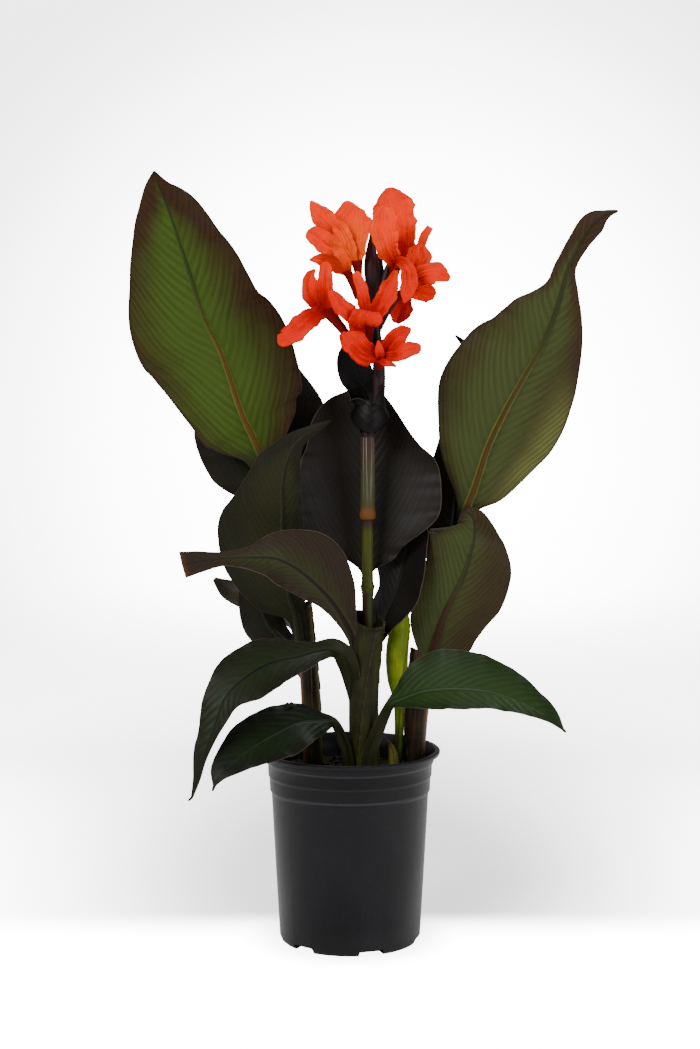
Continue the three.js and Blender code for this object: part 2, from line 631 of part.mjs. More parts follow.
// The soil that fills the pot, with a lumpy top and a plain hole round each stem that stands in it.
function makeSoil(standing) {
  const floor = POT_WALL + GAP;
  const inside = (radius) => radius - POT_WALL - GAP;
  const edge = inside(UPPER_BAND_RADIUS) - SOIL_SWELL / 2;
  const heap = turned([
    [0, floor],
    [inside(FOOT_RADIUS), floor],
    [inside(BODY_FOOT_RADIUS), FOOT_BEVEL],
    [inside(BODY_TOP_RADIUS), LOWER_BAND_FOOT - BAND_STEP / 2],
    [edge, SOIL_LEVEL - SOIL_SWELL],
    ...SOIL_RINGS.map((share) => [edge * share, SOIL_LEVEL]),
  ]);
  const points = heap.attributes.position;
  for (let i = 0; i < points.count; i += 1) {
    if (points.getZ(i) < SOIL_LEVEL) continue;
    const lump = SOIL_WAVES.reduce((sum, { x, y, start, share }) => (
      sum + share * Math.sin(x * points.getX(i) + y * points.getY(i) + start)
    ), 0);
    points.setZ(i, SOIL_LEVEL + (SOIL_SWELL / 2) * lump);
  }
  return without(solid(heap), standing);
}

// A bloom's petals joined to the tube that they grow from.
function makeBloom({ tube, petals }) {
  const blades = petals.map((rows) => blade({ ...PETAL, rows }, { thickness: PETAL_THICKNESS }));
  return union([stem(tube, { sides: TUBE_SIDES }), ...blades]);
}

// The rachis with the buds on top of it and the short stalks that carry the blooms.
function makeSpray(grow) {
  return union([
    stem(RACHIS, { grow }),
    ...BUDS.map((rows) => stem(rows, { grow, sides: TUBE_SIDES })),
    ...BLOOM_STALKS.map((rows) => stem(rows, { grow, sides: STALK_SIDES })),
  ]);
}

function build() {
  const plant = new THREE.Group();
  const clear = (name) => stem(STEMS[name].rows, { grow: GAP });

  plant.add(mesh('pot', makePot(), POT_PLASTIC));
  const stems = Object.keys(STEMS).filter((name) => STEMS[name].rows[0][2] === STEM_ROOT);
  const leaves = ['leaf_low_left', 'leaf_low_right'];
  const standing = [
    ...stems.map(clear),
    ...leaves.map((name) => blade(LEAVES[name], { grow: 2 * GAP })),
  ];
  plant.add(mesh('soil', makeSoil(standing), SOIL));

  const cuts = {
    stem_centre: [clear('flower_stalk'), stem(FUNNEL)],
    stalk_sheath: [clear('flower_stalk')],
  };
  for (const [name, { rows, finish }] of Object.entries(STEMS)) {
    plant.add(mesh(name, without(stem(rows), cuts[name] ?? []), finish));
  }
  plant.add(mesh('flower_spray', without(makeSpray(0), [clear('stalk_sheath')]), SPRAY_PURPLE));

  const spray = makeSpray(GAP);
  const carriers = ['stem_centre', 'stem_left', 'stem_right', 'flower_stalk', 'stalk_sheath'];
  const around = [...carriers.map(clear), spray];
  for (const [name, leaf] of Object.entries(LEAVES)) {
    const finish = leaf.underside ? LEAF_GREEN : LEAF_BRONZE;
    plant.add(mesh(name, without(blade(leaf), around), finish));
  }
  for (const [name, bloom] of Object.entries(BLOOMS)) {
    plant.add(mesh(name, without(makeBloom(bloom), [spray]), PETAL_RED));
  }
  return plant;
}

export default build();
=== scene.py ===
"""A bronze-leaved canna in flower in its black nursery pot, dressed round its CAD frame."""

import math

import bpy
import numpy as np
from bpy.props import FloatProperty, FloatVectorProperty, IntProperty, PointerProperty
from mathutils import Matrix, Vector, noise


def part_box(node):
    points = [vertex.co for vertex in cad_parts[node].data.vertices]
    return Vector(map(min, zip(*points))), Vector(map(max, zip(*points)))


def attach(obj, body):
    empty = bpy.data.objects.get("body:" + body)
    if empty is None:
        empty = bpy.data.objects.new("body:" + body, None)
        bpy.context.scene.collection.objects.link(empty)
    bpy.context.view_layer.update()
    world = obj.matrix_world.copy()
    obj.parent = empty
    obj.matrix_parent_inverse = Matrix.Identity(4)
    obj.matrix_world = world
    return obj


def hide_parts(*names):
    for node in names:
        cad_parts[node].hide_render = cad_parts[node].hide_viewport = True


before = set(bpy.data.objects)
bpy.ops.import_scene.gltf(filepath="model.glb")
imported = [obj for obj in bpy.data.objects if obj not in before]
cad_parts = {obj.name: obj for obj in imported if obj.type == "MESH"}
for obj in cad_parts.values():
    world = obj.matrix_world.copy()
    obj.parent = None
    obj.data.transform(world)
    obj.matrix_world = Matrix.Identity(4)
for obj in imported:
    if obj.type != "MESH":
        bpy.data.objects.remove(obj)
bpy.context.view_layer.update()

bl_info = {
    "name": "Potted Canna",
    "version": (1, 0, 0),
    "blender": (4, 5, 0),
    "location": "View3D > Sidebar > Canna",
    "description": "Models a canna with bronze leaves and vermilion flowers in a nursery pot",
    "category": "Add Mesh",
}

MM = 0.001
BODY = "root"
TURN = 2 * math.pi
MERGE = 1e-6

# Spacing of the mesh on leaves, petals and stems, in millimetres.
LEAF_ROW = 1.4
LEAF_COLUMN = 2.4
HOOD_COLUMN = 1.5
PETAL_ROW = 1.0
PETAL_COLUMN = 1.0
STEM_ROW = 1.6
KEEL_COLUMNS = 4
COLUMN_COUNTS = (6, 26)

# Shape of a blade's section, the same as the solids have.
NARROWEST = 0.5
LEAST_REACH = 0.5
FULL_WAVE_WIDTH = 20
WAVE_LAG = 1.3
KEEL_TAPER = 1.2
KEEL_SHARE = (0.08, 0.85)
TEAR_LENGTH = 19

# Lateral veins leave the midrib forwards, and lean further forwards toward the margin.
VEIN_LEAN = 1.15
VEIN_SWEEP = 0.8

PHOTO_HEIGHT = 1049
FOCAL_PIXELS = 2220
SENSOR = 36
CAMERA_PLACE = (0, -2.0, 0.58)
CAMERA_DIP = math.radians(5.64)

# Where the lights point, and the way in which the backdrop is brightest.
LIT_PLACE = Vector((0, 0, 0.35))
BRIGHTEST_WAY = (0.02, 0.998, -0.06)
PALE = (0.8, 0.8, 0.8, 1)
WHITE = (1, 1, 1, 1)

# Stems: rows of x, y, z and radius in millimetres along the middle line.
STEM_ROOT = 128
CENTRE_STEM = [
    (13, -5, STEM_ROOT, 13), (13, -5, 165, 13.5), (12, -5, 222, 13), (14, -5, 278, 14),
    (15, -5, 297, 16),
]
LEFT_STEM = [
    (-30, 27, STEM_ROOT, 9), (-34, 26, 160, 9), (-37, 25, 226, 8.5), (-41, 22, 273, 8),
    (-44, 20, 303, 8.5),
]
RIGHT_STEM = [
    (54, 12, STEM_ROOT, 9), (59, 14, 160, 9), (61, 18, 205, 11), (65, 21, 236, 11),
    (65, 22, 262, 8),
]
YOUNG_SHOOT = [
    (38, 14, STEM_ROOT, 4), (44, 14, 162, 4), (45, 14, 212, 4.5), (43, 14, 240, 9),
    (43, 14, 265, 10), (46, 15, 290, 8), (48, 17, 312, 2),
]
SPROUT = [(41, -9, STEM_ROOT, 5), (40, -9, 160, 5), (38, -9, 176, 4), (34, -10, 186, 0.8)]
FLOWER_STALK = [
    (15, -2, 268, 5), (16, 0, 285, 5), (16, 0, 318, 5.3), (16, 0, 326, 6.6), (16, 0, 334, 5.2),
    (16, 0, 386, 5),
]
STALK_SHEATH = [
    (16, 0, 386, 6), (16, 0, 391, 7.4), (16, 0, 398, 6.6), (16, 0, 430, 6.4), (16, 0, 462, 6.2),
]
RACHIS = [
    (16, 0, 462, 5.8), (19, 0, 478, 5.8), (25, 0, 497, 6), (26, 0, 527, 5.6), (24, 1, 550, 4.5),
    (22, 2, 574, 3),
]
BUDS = [
    [(22, 2, 566, 3), (21, 1, 596, 7), (19, 0, 618, 6.5), (19, 0, 646, 0.8)],
    [(23, 3, 566, 3), (30, 4, 596, 6), (35, 5, 620, 0.8)],
    [(22, 4, 566, 3), (25, 10, 602, 6), (27, 12, 634, 0.8)],
]
BLOOM_STALKS = [
    [(23, 1, 560, 2.6), (14, -2, 588, 2.2), (8, -6, 604, 2.4)],
    [(23, 1, 550, 2.6), (14, -2, 574, 2.2), (7, -4, 588, 2.4)],
    [(23, 1, 566, 2.6), (33, 0, 588, 2.2), (38, -1, 600, 2.4)],
    [(24, 1, 555, 2.6), (36, -1, 577, 2.2), (44, -2, 587, 2.4)],
    [(25, 0, 535, 2.8), (19, -6, 545, 2.6), (17, -9, 552, 3)],
    [(25, 0, 530, 2.8), (12, -5, 542, 2.6), (1, -8, 551, 3)],
    [(26, 0, 512, 2.8), (26, -8, 522, 2.6), (26, -12, 527, 3)],
]

# What most leaves share: the way the blade faces, how it folds and curls, the height and number of its
# waves, the half width and depth of its keel, the spacing of its lateral veins in millimetres, whether
# its underside faces the camera, the colours of its other side in the middle and toward the margin,
# where the margin's colour begins on the left and on the right as a share of the half width, where the
# tip darkens, where the midrib's colours fade, how strong the veins are, the light line on the margin
# and the colour of the dry tip.
LEAF = {
    "face": (0, -1, 0), "fold": 0.1, "curl": -0.2, "wave": (1, 2), "rib": (4, 5), "underside": False,
    "veins": 9, "hidden": ("1c2010", "140f0c"), "start": (0.5, 0.5), "tip": (0.7, 1.0),
    "rib_fade": (0.6, 0.95), "contrast": 0.3, "rim": 0.5, "dry": "0c0605",
}


def leaf(*rows, **look):
    """A leaf: what it has of its own, on top of what most leaves share."""
    return {**LEAF, **look, "rows": rows}


# Leaves: rows of x, y, z along the midrib from the root of the petiole to the tip, each with the half
# width on the left and on the right of it as seen from the front, all in millimetres, or one width for
# both. A look also has the colours of the blade that shows and of the midrib and its sides, and may
# have a pale area of painted highlight on a fold (from and to along the leaf, from and to across it,
# colour) and the places where the petiole turns into the blade.
LEAVES = {
    "leaf_upper_left": leaf(
        (-41, 20, 285, 5), (-48, 22, 311, 5), (-61, 28, 365, 5), (-73, 32, 409, 6),
        (-81, 30, 441, 16, 19), (-90, 27, 463, 39, 44), (-99, 22, 483, 48, 59), (-116, 10, 536, 68, 63),
        (-131, -2, 569, 69, 54), (-142, -16, 607, 56, 46), (-150, -28, 634, 45, 36),
        (-159, -40, 663, 30, 25), (-166, -48, 682, 15, 10), (-170, -54, 696, 0.8),
        fold=-0.12, wave=(2, 3), rib=(4.5, 7), underside=True, veins=12, shown=("344510", "2c1b08"),
        hidden=("1e2211", "1a1311"), start=(0.84, 0.5), tip=(0.7, 1.04), midrib=("4a3210", "585c1c"),
        rib_fade=(0.5, 0.7), contrast=0.4, petiole=(0.28, 0.36),
    ),
    "leaf_back_left": leaf(
        (-41, 30, 282, 5), (-48, 42, 308, 5), (-63, 50, 358, 5), (-82, 58, 397, 7),
        (-87, 62, 420, 41, 32), (-86, 68, 455, 60, 56), (-82, 76, 487, 56, 59), (-83, 84, 529, 43, 29),
        (-88, 92, 570, 26, 12), (-98, 97, 600, 0.8),
        fold=-0.1, wave=(2, 2), rib=(4.5, 6), underside=True, shown=("111402", "100b02"),
        hidden=("1e2211", "1a1311"), tip=(0.6, 1.0), midrib=("241a0c", "2a2a12"),
    ),
    "leaf_mid_left": leaf(
        (-42, 16, 256, 5), (-46, 10, 275, 6), (-49, 4, 297, 9, 8), (-54, 0, 316, 35, 16),
        (-57, -6, 340, 51, 20), (-60, -12, 370, 57, 20), (-60, -18, 397, 53, 18),
        (-60, -22, 420, 35, 17), (-56, -24, 441, 24, 13), (-45, -26, 461, 9, 7), (-17, -28, 478, 0.8),
        face=(0.2, -1, -0.1), fold=-0.15, wave=(1.5, 2), rib=(4.5, 5), underside=True,
        shown=("1f200d", "16150a"), hidden=("1e2211", "1a1311"), start=(0.75, 0.6),
        midrib=("141409", "24261a"), rib_fade=(0.8, 1.1), contrast=0.25, petiole=(0.2, 0.3),
    ),
    "leaf_twisted": leaf(
        (9, -8, 251, 5), (3, -14, 279, 5, 6), (-6, -22, 299, 7, 13), (-18, -30, 318, 11, 27),
        (-34, -40, 336, 18, 38), (-49, -49, 349, 21, 37), (-66, -58, 358, 21, 25),
        (-86, -66, 360, 13, 11), (-109, -74, 360, 7, 6), (-131, -80, 358, 10, 9), (-146, -84, 355, 12),
        face=(-0.1, -0.95, 0.3), curl=0.15, rib=(4, 4), veins=8, shown=("252a10", "251c13"),
        start=(0.55, 0.35), midrib=("1a140c", "2a281a"), contrast=0.35, rim=0.8, dry="46261a",
    ),
    "leaf_small_back": leaf(
        (-42, 31, 269, 4), (-55, 57, 283, 4), (-70, 68, 295, 12), (-94, 77, 306, 14, 13),
        (-114, 84, 313, 11, 9), (-129, 88, 322, 2),
        face=(0, -0.9, 0.4), curl=0.1, rib=(3, 4), veins=7, shown=("1f1d08", "181104"),
        midrib=("241e0c", "2a2a12"), contrast=0.35,
    ),
    "leaf_back_low": leaf(
        (-39, 30, 235, 5), (-58, 42, 265, 9), (-75, 46, 283, 22, 15), (-84, 50, 305, 20, 19),
        (-84, 52, 331, 15), (-78, 52, 355, 0.8),
        face=(0, -1, 0.2), fold=-0.1, curl=-0.1, rib=(3.5, 4), underside=True, veins=7,
        shown=("121307", "110c05"), hidden=("1e2211", "1a1311"), midrib=("1a180c", "20200f"),
    ),
    "leaf_droop_left": leaf(
        (7, -8, 212, 5), (1, -14, 242, 7, 9), (-5, -22, 262, 8, 11), (-15, -29, 272, 8, 11),
        (-29, -37, 272, 11, 10), (-45, -46, 269, 17, 16), (-71, -60, 265, 27, 26),
        (-92, -72, 254, 29, 28), (-109, -80, 238, 17, 20), (-119, -85, 212, 8, 14),
        (-128, -87, 187, 4, 10), (-134, -86, 166, 3, 4), (-139, -84, 149, 0.8),
        face=(-0.25, -0.8, 0.55), curl=0.1, wave=(1, 3), veins=11, shown=("161f0c", "15170a"),
        midrib=("0b0d07", "1c2012"), contrast=0.35, rim=0.8, petiole=(0.2, 0.32),
    ),
    "leaf_low_left": leaf(
        (-1, -19, 133, 5), (-2, -20, 171, 5), (-7, -22, 190, 5), (-15, -28, 206, 5),
        (-29, -38, 209, 15, 13), (-47, -49, 209, 26, 24), (-66, -62, 202, 29, 28),
        (-85, -74, 193, 23, 26), (-100, -84, 183, 16, 20), (-112, -91, 173, 7, 12),
        (-119, -94, 162, 0.8),
        face=(-0.1, -0.75, 0.65), fold=0.08, curl=0.05, wave=(1, 3), veins=12,
        shown=("0c1804", "0a0f04"), start=(0.6, 0.6), midrib=("1a240e", "080b04"), petiole=(0.25, 0.36),
    ),
    "leaf_centre": leaf(
        (14, 6, 320, 3), (15, 12, 337, 5), (15, 16, 348, 18, 24), (15, 18, 360, 36, 33),
        (15, 20, 374, 57, 52), (15, 22, 389, 62, 66), (15, 26, 412, 62, 68), (15, 30, 434, 60, 64),
        (15, 34, 451, 54, 48), (15, 38, 471, 50, 34), (15, 42, 489, 38, 23), (15, 45, 501, 18, 13),
        (15, 46, 510, 2),
        face=(0, -1, 0.15), fold=0.08, curl=0.35, wave=(1.5, 3), rib=(4, 6), veins=10,
        shown=("14110c", "120d0a"), hidden=("2a331a", "1c140f"), midrib=("0b0b09", "12110f"),
        contrast=0.25,
    ),
    "leaf_clasping": leaf(
        (16, 7, 463, 10.5), (17, 12, 473, 17), (18, 16, 484, 22), (18, 16, 493, 20), (15, 17, 501, 17),
        (9, 17, 509, 13, 16), (5, 16, 518, 15, 16), (2, 13, 532, 14), (2, 11, 546, 8), (2, 10, 556, 0.8),
        fold=0, curl=(3.05, 3.05, 3.05, 2.9, 1.7, 0.9, 0.5, 0.4, 0.3, 0.2), wave=(0, 1), rib=(2, 3),
        veins=7, shown=("060403", "060303"), hidden=("0b0706", "0b0606"), midrib=("070606", "0e0f0f"),
        contrast=0.15, rim=0.2,
    ),
    "leaf_upper_right": leaf(
        (68, 26, 226, 5), (76, 30, 254, 5), (90, 38, 309, 5), (99, 40, 355, 5), (104, 38, 381, 6),
        (108, 34, 396, 10, 12), (115, 28, 416, 27, 33), (125, 18, 450, 48, 52), (139, 6, 483, 65, 57),
        (157, -6, 518, 62, 50), (171, -16, 544, 50, 38), (181, -26, 571, 37, 26),
        (187, -32, 593, 17, 15), (192, -36, 613, 12, 7), (201, -40, 633, 11, 8), (213, -44, 651, 11, 10),
        (224, -46, 659, 4), (234, -46, 662, 0.8),
        fold=-0.15, wave=(2, 3), rib=(4.5, 7), underside=True, veins=11, shown=("363d1c", "2e2010"),
        hidden=("1e2211", "1a1311"), start=(0.85, 0.6), tip=(0.64, 0.98), midrib=("3c2a0e", "585a20"),
        rib_fade=(0.45, 0.65), contrast=0.36, pale=((0.4, 0.46), (0.4, 0.85), "565a2c"),
        petiole=(0.26, 0.3),
    ),
    "leaf_mid_right": leaf(
        (65, 18, 211, 5), (71, 15, 239, 6), (74, 13, 258, 11, 15), (77, 12, 270, 19, 33),
        (82, 10, 287, 28, 37), (91, 8, 310, 33, 44), (101, 8, 330, 35, 46), (109, 10, 353, 37, 41),
        (113, 14, 371, 40, 28), (112, 22, 386, 33, 13), (103, 24, 395, 0.8),
        face=(0.1, -1, 0.1), fold=-0.12, curl=-0.15, wave=(1.5, 3), rib=(4.5, 6), underside=True,
        veins=8, shown=("303718", "2c2311"), hidden=("1e2211", "1a1311"), start=(0.85, 0.25),
        tip=(0.75, 1.0), midrib=("2a120a", "2c200f"), rib_fade=(0.35, 0.75), contrast=0.4,
    ),
    "leaf_back_right": leaf(
        (65, 28, 235, 5), (76, 42, 256, 5), (88, 58, 306, 5), (93, 62, 343, 22, 8),
        (96, 64, 373, 29, 12), (98, 66, 394, 34, 24), (100, 69, 417, 29, 28), (103, 74, 450, 21, 28),
        (110, 80, 487, 19, 23), (117, 86, 518, 11, 13), (112, 90, 538, 5), (99, 94, 552, 0.8),
        curl=0.2, wave=(1.5, 3), shown=("0e0b03", "0f0805"), midrib=("0b0b09", "12110f"), contrast=0.2,
    ),
    "leaf_folded": leaf(
        (20, -2, 263, 6), (25, 2, 280, 8, 10), (34, 8, 301, 14, 22), (43, 14, 321, 16, 29),
        (49, 22, 343, 22, 28), (54, 30, 365, 20, 24), (59, 36, 388, 12, 15), (63, 40, 406, 0.8),
        face=(-0.45, -0.9, 0), fold=0.25, curl=0.4, wave=(0.5, 2), veins=8, shown=("0c0c07", "100c0b"),
        tip=(0.8, 1.0), midrib=("0b0b09", "12110f"),
    ),
    "leaf_low_right": leaf(
        (15, -21, 133, 5), (16, -21, 169, 6), (23, -21, 191, 6), (31, -22, 211, 5), (37, -26, 222, 6, 5),
        (47, -32, 228, 19, 9), (67, -43, 237, 36, 19), (93, -54, 241, 38, 24), (119, -64, 241, 33, 22),
        (142, -72, 236, 24, 16), (162, -78, 228, 15, 10), (176, -82, 220, 9, 5), (187, -84, 210, 0.8),
        face=(0.1, -0.75, 0.65), curl=0.1, wave=(1, 3), rib=(4, 6), veins=11, shown=("1c2f0e", "152408"),
        start=(0.6, 0.6), tip=(0.8, 1.0), midrib=("24381a", "121a0a"), contrast=0.4, rim=0.8,
        petiole=(0.26, 0.4),
    ),
}

# Blooms: the rows of x, y, z and radius of the tube that the petals grow from, then the rows of each
# petal, like those of a leaf.
BLOOMS = {
    "bloom_top_left": (
        [(8, -6, 602, 2.8), (7, -8, 612, 4), (6, -10, 620, 5.5)],
        [(5, -10, 616, 3), (-8, -16, 638, 12, 11), (-21, -20, 652, 11), (-30, -20, 664, 6, 7),
         (-35, -18, 672, 0.8)],
        [(7, -8, 615, 3), (4, -14, 633, 13, 11), (2, -14, 650, 18), (4, -12, 661, 15),
         (8, -10, 667, 7, 6)],
        [(3, -9, 617, 3), (-11, -18, 629, 7), (-25, -24, 637, 10), (-35, -25, 643, 6, 7),
         (-38, -25, 645, 2)],
    ),
    "bloom_left_curl": (
        [(7, -4, 586, 2.8), (2, -6, 600, 3.4), (-3, -9, 611, 4.5)],
        [(-2, -8, 608, 3), (-13, -14, 616, 7, 6), (-25, -18, 621, 7, 5), (-36, -18, 620, 0.8)],
        [(-2, -9, 609, 3), (-3, -20, 616, 4), (-8, -28, 624, 4), (-14, -29, 626, 2)],
    ),
    "bloom_top_right": (
        [(38, -1, 598, 2.8), (40, -3, 610, 4.5), (41, -5, 618, 6)],
        [(41, -3, 614, 4), (45, 3, 634, 11, 13), (43, 6, 652, 20, 16), (39, 6, 667, 20, 18),
         (36, 4, 679, 11, 12), (35, 2, 685, 3)],
        [(41, -7, 614, 4), (34, -22, 629, 10, 9), (30, -27, 645, 12), (30, -24, 659, 10, 11),
         (32, -20, 666, 4)],
        [(39, -8, 616, 4), (45, -20, 619, 4, 5), (52, -28, 609, 7), (51, -29, 593, 7),
         (48, -27, 582, 0.8)],
    ),
    "bloom_right": (
        [(44, -2, 585, 2.8), (49, -4, 593, 4), (53, -5, 600, 5)],
        [(52, -5, 597, 3), (57, -8, 611, 9, 8), (61, -8, 623, 11), (62, -6, 631, 7), (62, -6, 635, 2)],
        [(52, -6, 598, 3), (63, -12, 606, 9), (76, -13, 609, 9, 10), (85, -12, 605, 5),
         (89, -12, 603, 2)],
        [(52, -5, 597, 3), (61, -6, 593, 9), (70, -5, 591, 8, 9), (76, -4, 588, 3)],
        [(53, -3, 598, 2), (60, 3, 622, 3), (66, 4, 640, 4), (72, 4, 650, 3)],
        [(51, -3, 596, 4), (47, 6, 585, 10, 9), (44, 9, 572, 10, 9), (41, 8, 564, 3)],
    ),
    "bloom_centre": (
        [(17, -9, 550, 3.4), (16, -13, 558, 5), (16, -17, 567, 7)],
        [(15, -17, 564, 4), (13, -22, 583, 6, 5), (10, -23, 596, 5), (6, -21, 606, 4), (4, -20, 609, 2)],
        [(17, -17, 565, 4), (26, -20, 579, 7, 9), (34, -18, 593, 8, 9), (39, -15, 605, 4),
         (41, -13, 611, 2)],
        [(15, -18, 564, 5), (6, -26, 569, 8, 7), (-5, -32, 577, 8, 7), (-13, -33, 586, 6),
         (-18, -32, 593, 2)],
        [(16, -14, 558, 5), (14, -24, 562, 14, 11), (15, -29, 570, 16, 13), (16, -28, 575, 10, 9)],
    ),
    "bloom_left": (
        [(1, -8, 549, 3.4), (-10, -13, 563, 4.5), (-21, -18, 576, 6)],
        [(-20, -18, 574, 3), (-21, -24, 591, 9, 6), (-21, -26, 603, 8, 6), (-22, -25, 614, 5),
         (-23, -25, 618, 2)],
        [(-21, -17, 574, 3), (-32, -20, 585, 8, 10), (-37, -20, 597, 6, 9), (-36, -19, 606, 4, 6),
         (-31, -18, 612, 0.8)],
        [(-20, -18, 574, 3), (-36, -30, 568, 9), (-48, -36, 558, 10, 9), (-58, -38, 551, 8, 7),
         (-64, -38, 551, 3)],
    ),
    "bloom_low": (
        [(26, -12, 525, 3.4), (27, -17, 530, 4.2), (28, -21, 536, 5.5)],
        [(26, -20, 534, 4), (14, -30, 539, 12, 9), (3, -34, 547, 11), (-5, -34, 553, 6),
         (-7, -34, 556, 2)],
        [(29, -19, 535, 4), (36, -24, 545, 8, 9), (44, -26, 554, 8), (51, -26, 558, 4),
         (54, -26, 560, 0.8)],
        [(29, -21, 534, 4, 3), (41, -30, 534, 6, 4), (51, -34, 540, 7, 6), (60, -34, 542, 5),
         (63, -34, 542, 2)],
        [(27, -22, 533, 3), (26, -29, 541, 4), (25, -30, 549, 0.8)],
        [(26, -22, 532, 2), (31, -32, 529, 3), (37, -36, 528, 2), (41, -36, 526, 0.8)],
    ),
}


def linear(code):
    """The linear colour of a hex code such as 46562a."""
    shares = [int(code[i:i + 2], 16) / 255 for i in (0, 2, 4)]
    bright = [c / 12.92 if c <= 0.04045 else ((c + 0.055) / 1.055) ** 2.4 for c in shares]
    return (*bright, 1)


def arithmetic(operation):
    """The methods that put a value on the left and on the right of a Math node's operation."""
    return (
        lambda value, other: value.math(operation, value, other),
        lambda value, other: value.math(operation, other, value),
    )


class Value:
    """An output of a shader node, on which Python's arithmetic adds Math nodes."""

    def __init__(self, nodes, socket):
        self.nodes = nodes
        self.socket = socket

    def output(self, name):
        return Value(self.nodes, self.socket.node.outputs[name])

    def math(self, operation, *values):
        inputs = dict(enumerate(values))
        return self.nodes.node("ShaderNodeMath", {"operation": operation}, inputs)

    __add__, __radd__ = arithmetic("ADD")
    __sub__, __rsub__ = arithmetic("SUBTRACT")
    __mul__, __rmul__ = arithmetic("MULTIPLY")
    __pow__, _ = arithmetic("POWER")

    def __abs__(self):
        return self.math("ABSOLUTE", self)

    def sine(self):
        return self.math("SINE", self)

    def rise(self, start, end):
        """A smooth step from 0 at start to 1 at end."""
        inputs = {"Value": self, "From Min": start, "From Max": end}
        return self.nodes.node("ShaderNodeMapRange", {"interpolation_type": "SMOOTHSTEP"}, inputs)


class Nodes:
    """A node tree that is written as Python expressions."""

    def __init__(self, tree):
        self.tree = tree

    def node(self, kind, settings=None, inputs=None):
        made = self.tree.nodes.new(kind)
        for name, value in (settings or {}).items():
            setattr(made, name, value)
        for name, value in (inputs or {}).items():
            self.feed(made.inputs[name], value)
        return Value(self, next((out for out in made.outputs if out.enabled), None))

    def feed(self, socket, value):
        if isinstance(value, Value):
            self.tree.links.new(value.socket, socket)
        else:
            socket.default_value = value

    def mark(self, name):
        """A number kept at every vertex of the piece."""
        source = self.node("ShaderNodeAttribute", {"attribute_name": name})
        return source.output("Fac")

    def place(self):
        return self.node("ShaderNodeTexCoord").output("Object")

    def noise(self, vector, scale, detail=2.0, roughness=0.5):
        inputs = {"Vector": vector, "Scale": scale, "Detail": detail, "Roughness": roughness}
        return self.node("ShaderNodeTexNoise", {}, inputs)

    def vector(self, x, y, z):
        return self.node("ShaderNodeCombineXYZ", {}, {"X": x, "Y": y, "Z": z})

    def parts(self, vector):
        split = self.node("ShaderNodeSeparateXYZ", {}, {"Vector": vector})
        return split.output("X"), split.output("Y"), split.output("Z")

    def mix(self, share, first, second, blend="MIX"):
        settings = {"data_type": "RGBA", "blend_type": blend}
        return self.node("ShaderNodeMix", settings, {"Factor": share, 6: first, 7: second})

    def blend(self, share, first, second):
        return self.mix(share, linear(first), linear(second))

    def coats(self, shade, *coats):
        """Lays colours over a shade in turn, each with the share of it that shows."""
        for share, code in coats:
            shade = self.mix(share, shade, linear(code))
        return shade

    def distance(self, vector, point):
        settings = {"operation": "DISTANCE"}
        return self.node("ShaderNodeVectorMath", settings, {0: vector, 1: point}).output("Value")

    def seen(self):
        """1 for what the camera sees straight, and 0 for all other light."""
        return self.node("ShaderNodeLightPath").output("Is Camera Ray")

    def bump(self, height, strength, distance):
        inputs = {"Height": height, "Strength": strength, "Distance": distance}
        return self.node("ShaderNodeBump", {}, inputs)


class Finish(Nodes):
    """A material and the shader that ends it."""

    def __init__(self, name):
        self.material = bpy.data.materials.new(name)
        self.material.use_nodes = True
        super().__init__(self.material.node_tree)
        self.shader = self.tree.nodes["Principled BSDF"]

    def skin(self, colour, roughness, shine, relief):
        """Feeds the shader; a relief is a height, its strength and its depth in metres."""
        sockets = {
            "Base Color": colour, "Roughness": roughness, "Specular IOR Level": shine,
            "Normal": self.bump(*relief),
        }
        for name, value in sockets.items():
            self.feed(self.shader.inputs[name], value)
        return self.material


def unit(vectors):
    return vectors / np.maximum(np.linalg.norm(vectors, axis=-1, keepdims=True), 1e-9)


def spline(rows, t):
    """Points of the smooth line through rows of numbers at places t from 0 to 1, and its slope."""
    knots = np.asarray(rows, float)
    knots = np.vstack([2 * knots[0] - knots[1], knots, 2 * knots[-1] - knots[-2]])
    place = np.clip(t, 0, 1) * (len(rows) - 1)
    start = np.minimum(place.astype(int), len(rows) - 2)
    share = (place - start)[:, None]
    before, first, second, after = (knots[start + k] for k in range(4))
    leave = (second - before) / 2
    arrive = (after - first) / 2
    square = 3 * (second - first) - 2 * leave - arrive
    cube = 2 * (first - second) + leave + arrive
    point = first + share * (leave + share * (square + share * cube))
    slope = leave + share * (2 * square + 3 * share * cube)
    return point, slope


def even_places(rows, spacing):
    """Places along a line, spaced evenly by length, and the length up to each of them."""
    t = np.linspace(0, 1, 40 * len(rows))
    points, _ = spline([row[:3] for row in rows], t)
    lengths = np.concatenate([[0], np.cumsum(np.linalg.norm(np.diff(points, axis=0), axis=1))])
    count = max(int(round(lengths[-1] / spacing)), 4)
    along = np.linspace(0, lengths[-1], count + 1)
    return np.interp(along, lengths, t), along


def smooth_step(value, start, end):
    share = np.clip((value - start) / (end - start), 0, 1)
    return share * share * (3 - 2 * share)


def waves(value, length, seed):
    """A smooth and uneven wave along value, between about -1 and 1."""
    turn = TURN * value / length
    slow = 0.6 * np.sin(turn + seed) + 0.3 * np.sin(1.7 * turn + 2.1 * seed)
    return slow + 0.2 * np.sin(2.9 * turn + seed)


def deselect():
    if bpy.context.mode != "OBJECT":
        bpy.ops.object.mode_set(mode="OBJECT")
    bpy.ops.object.select_all(action="DESELECT")


def select(*pieces):
    """Selects only these pieces, with the first one active."""
    deselect()
    for piece in pieces:
        piece.select_set(True)
    bpy.context.view_layer.objects.active = pieces[0]


def named(name):
    """The piece that was just made, under its name."""
    piece = bpy.context.object
    piece.name = piece.data.name = name
    return piece


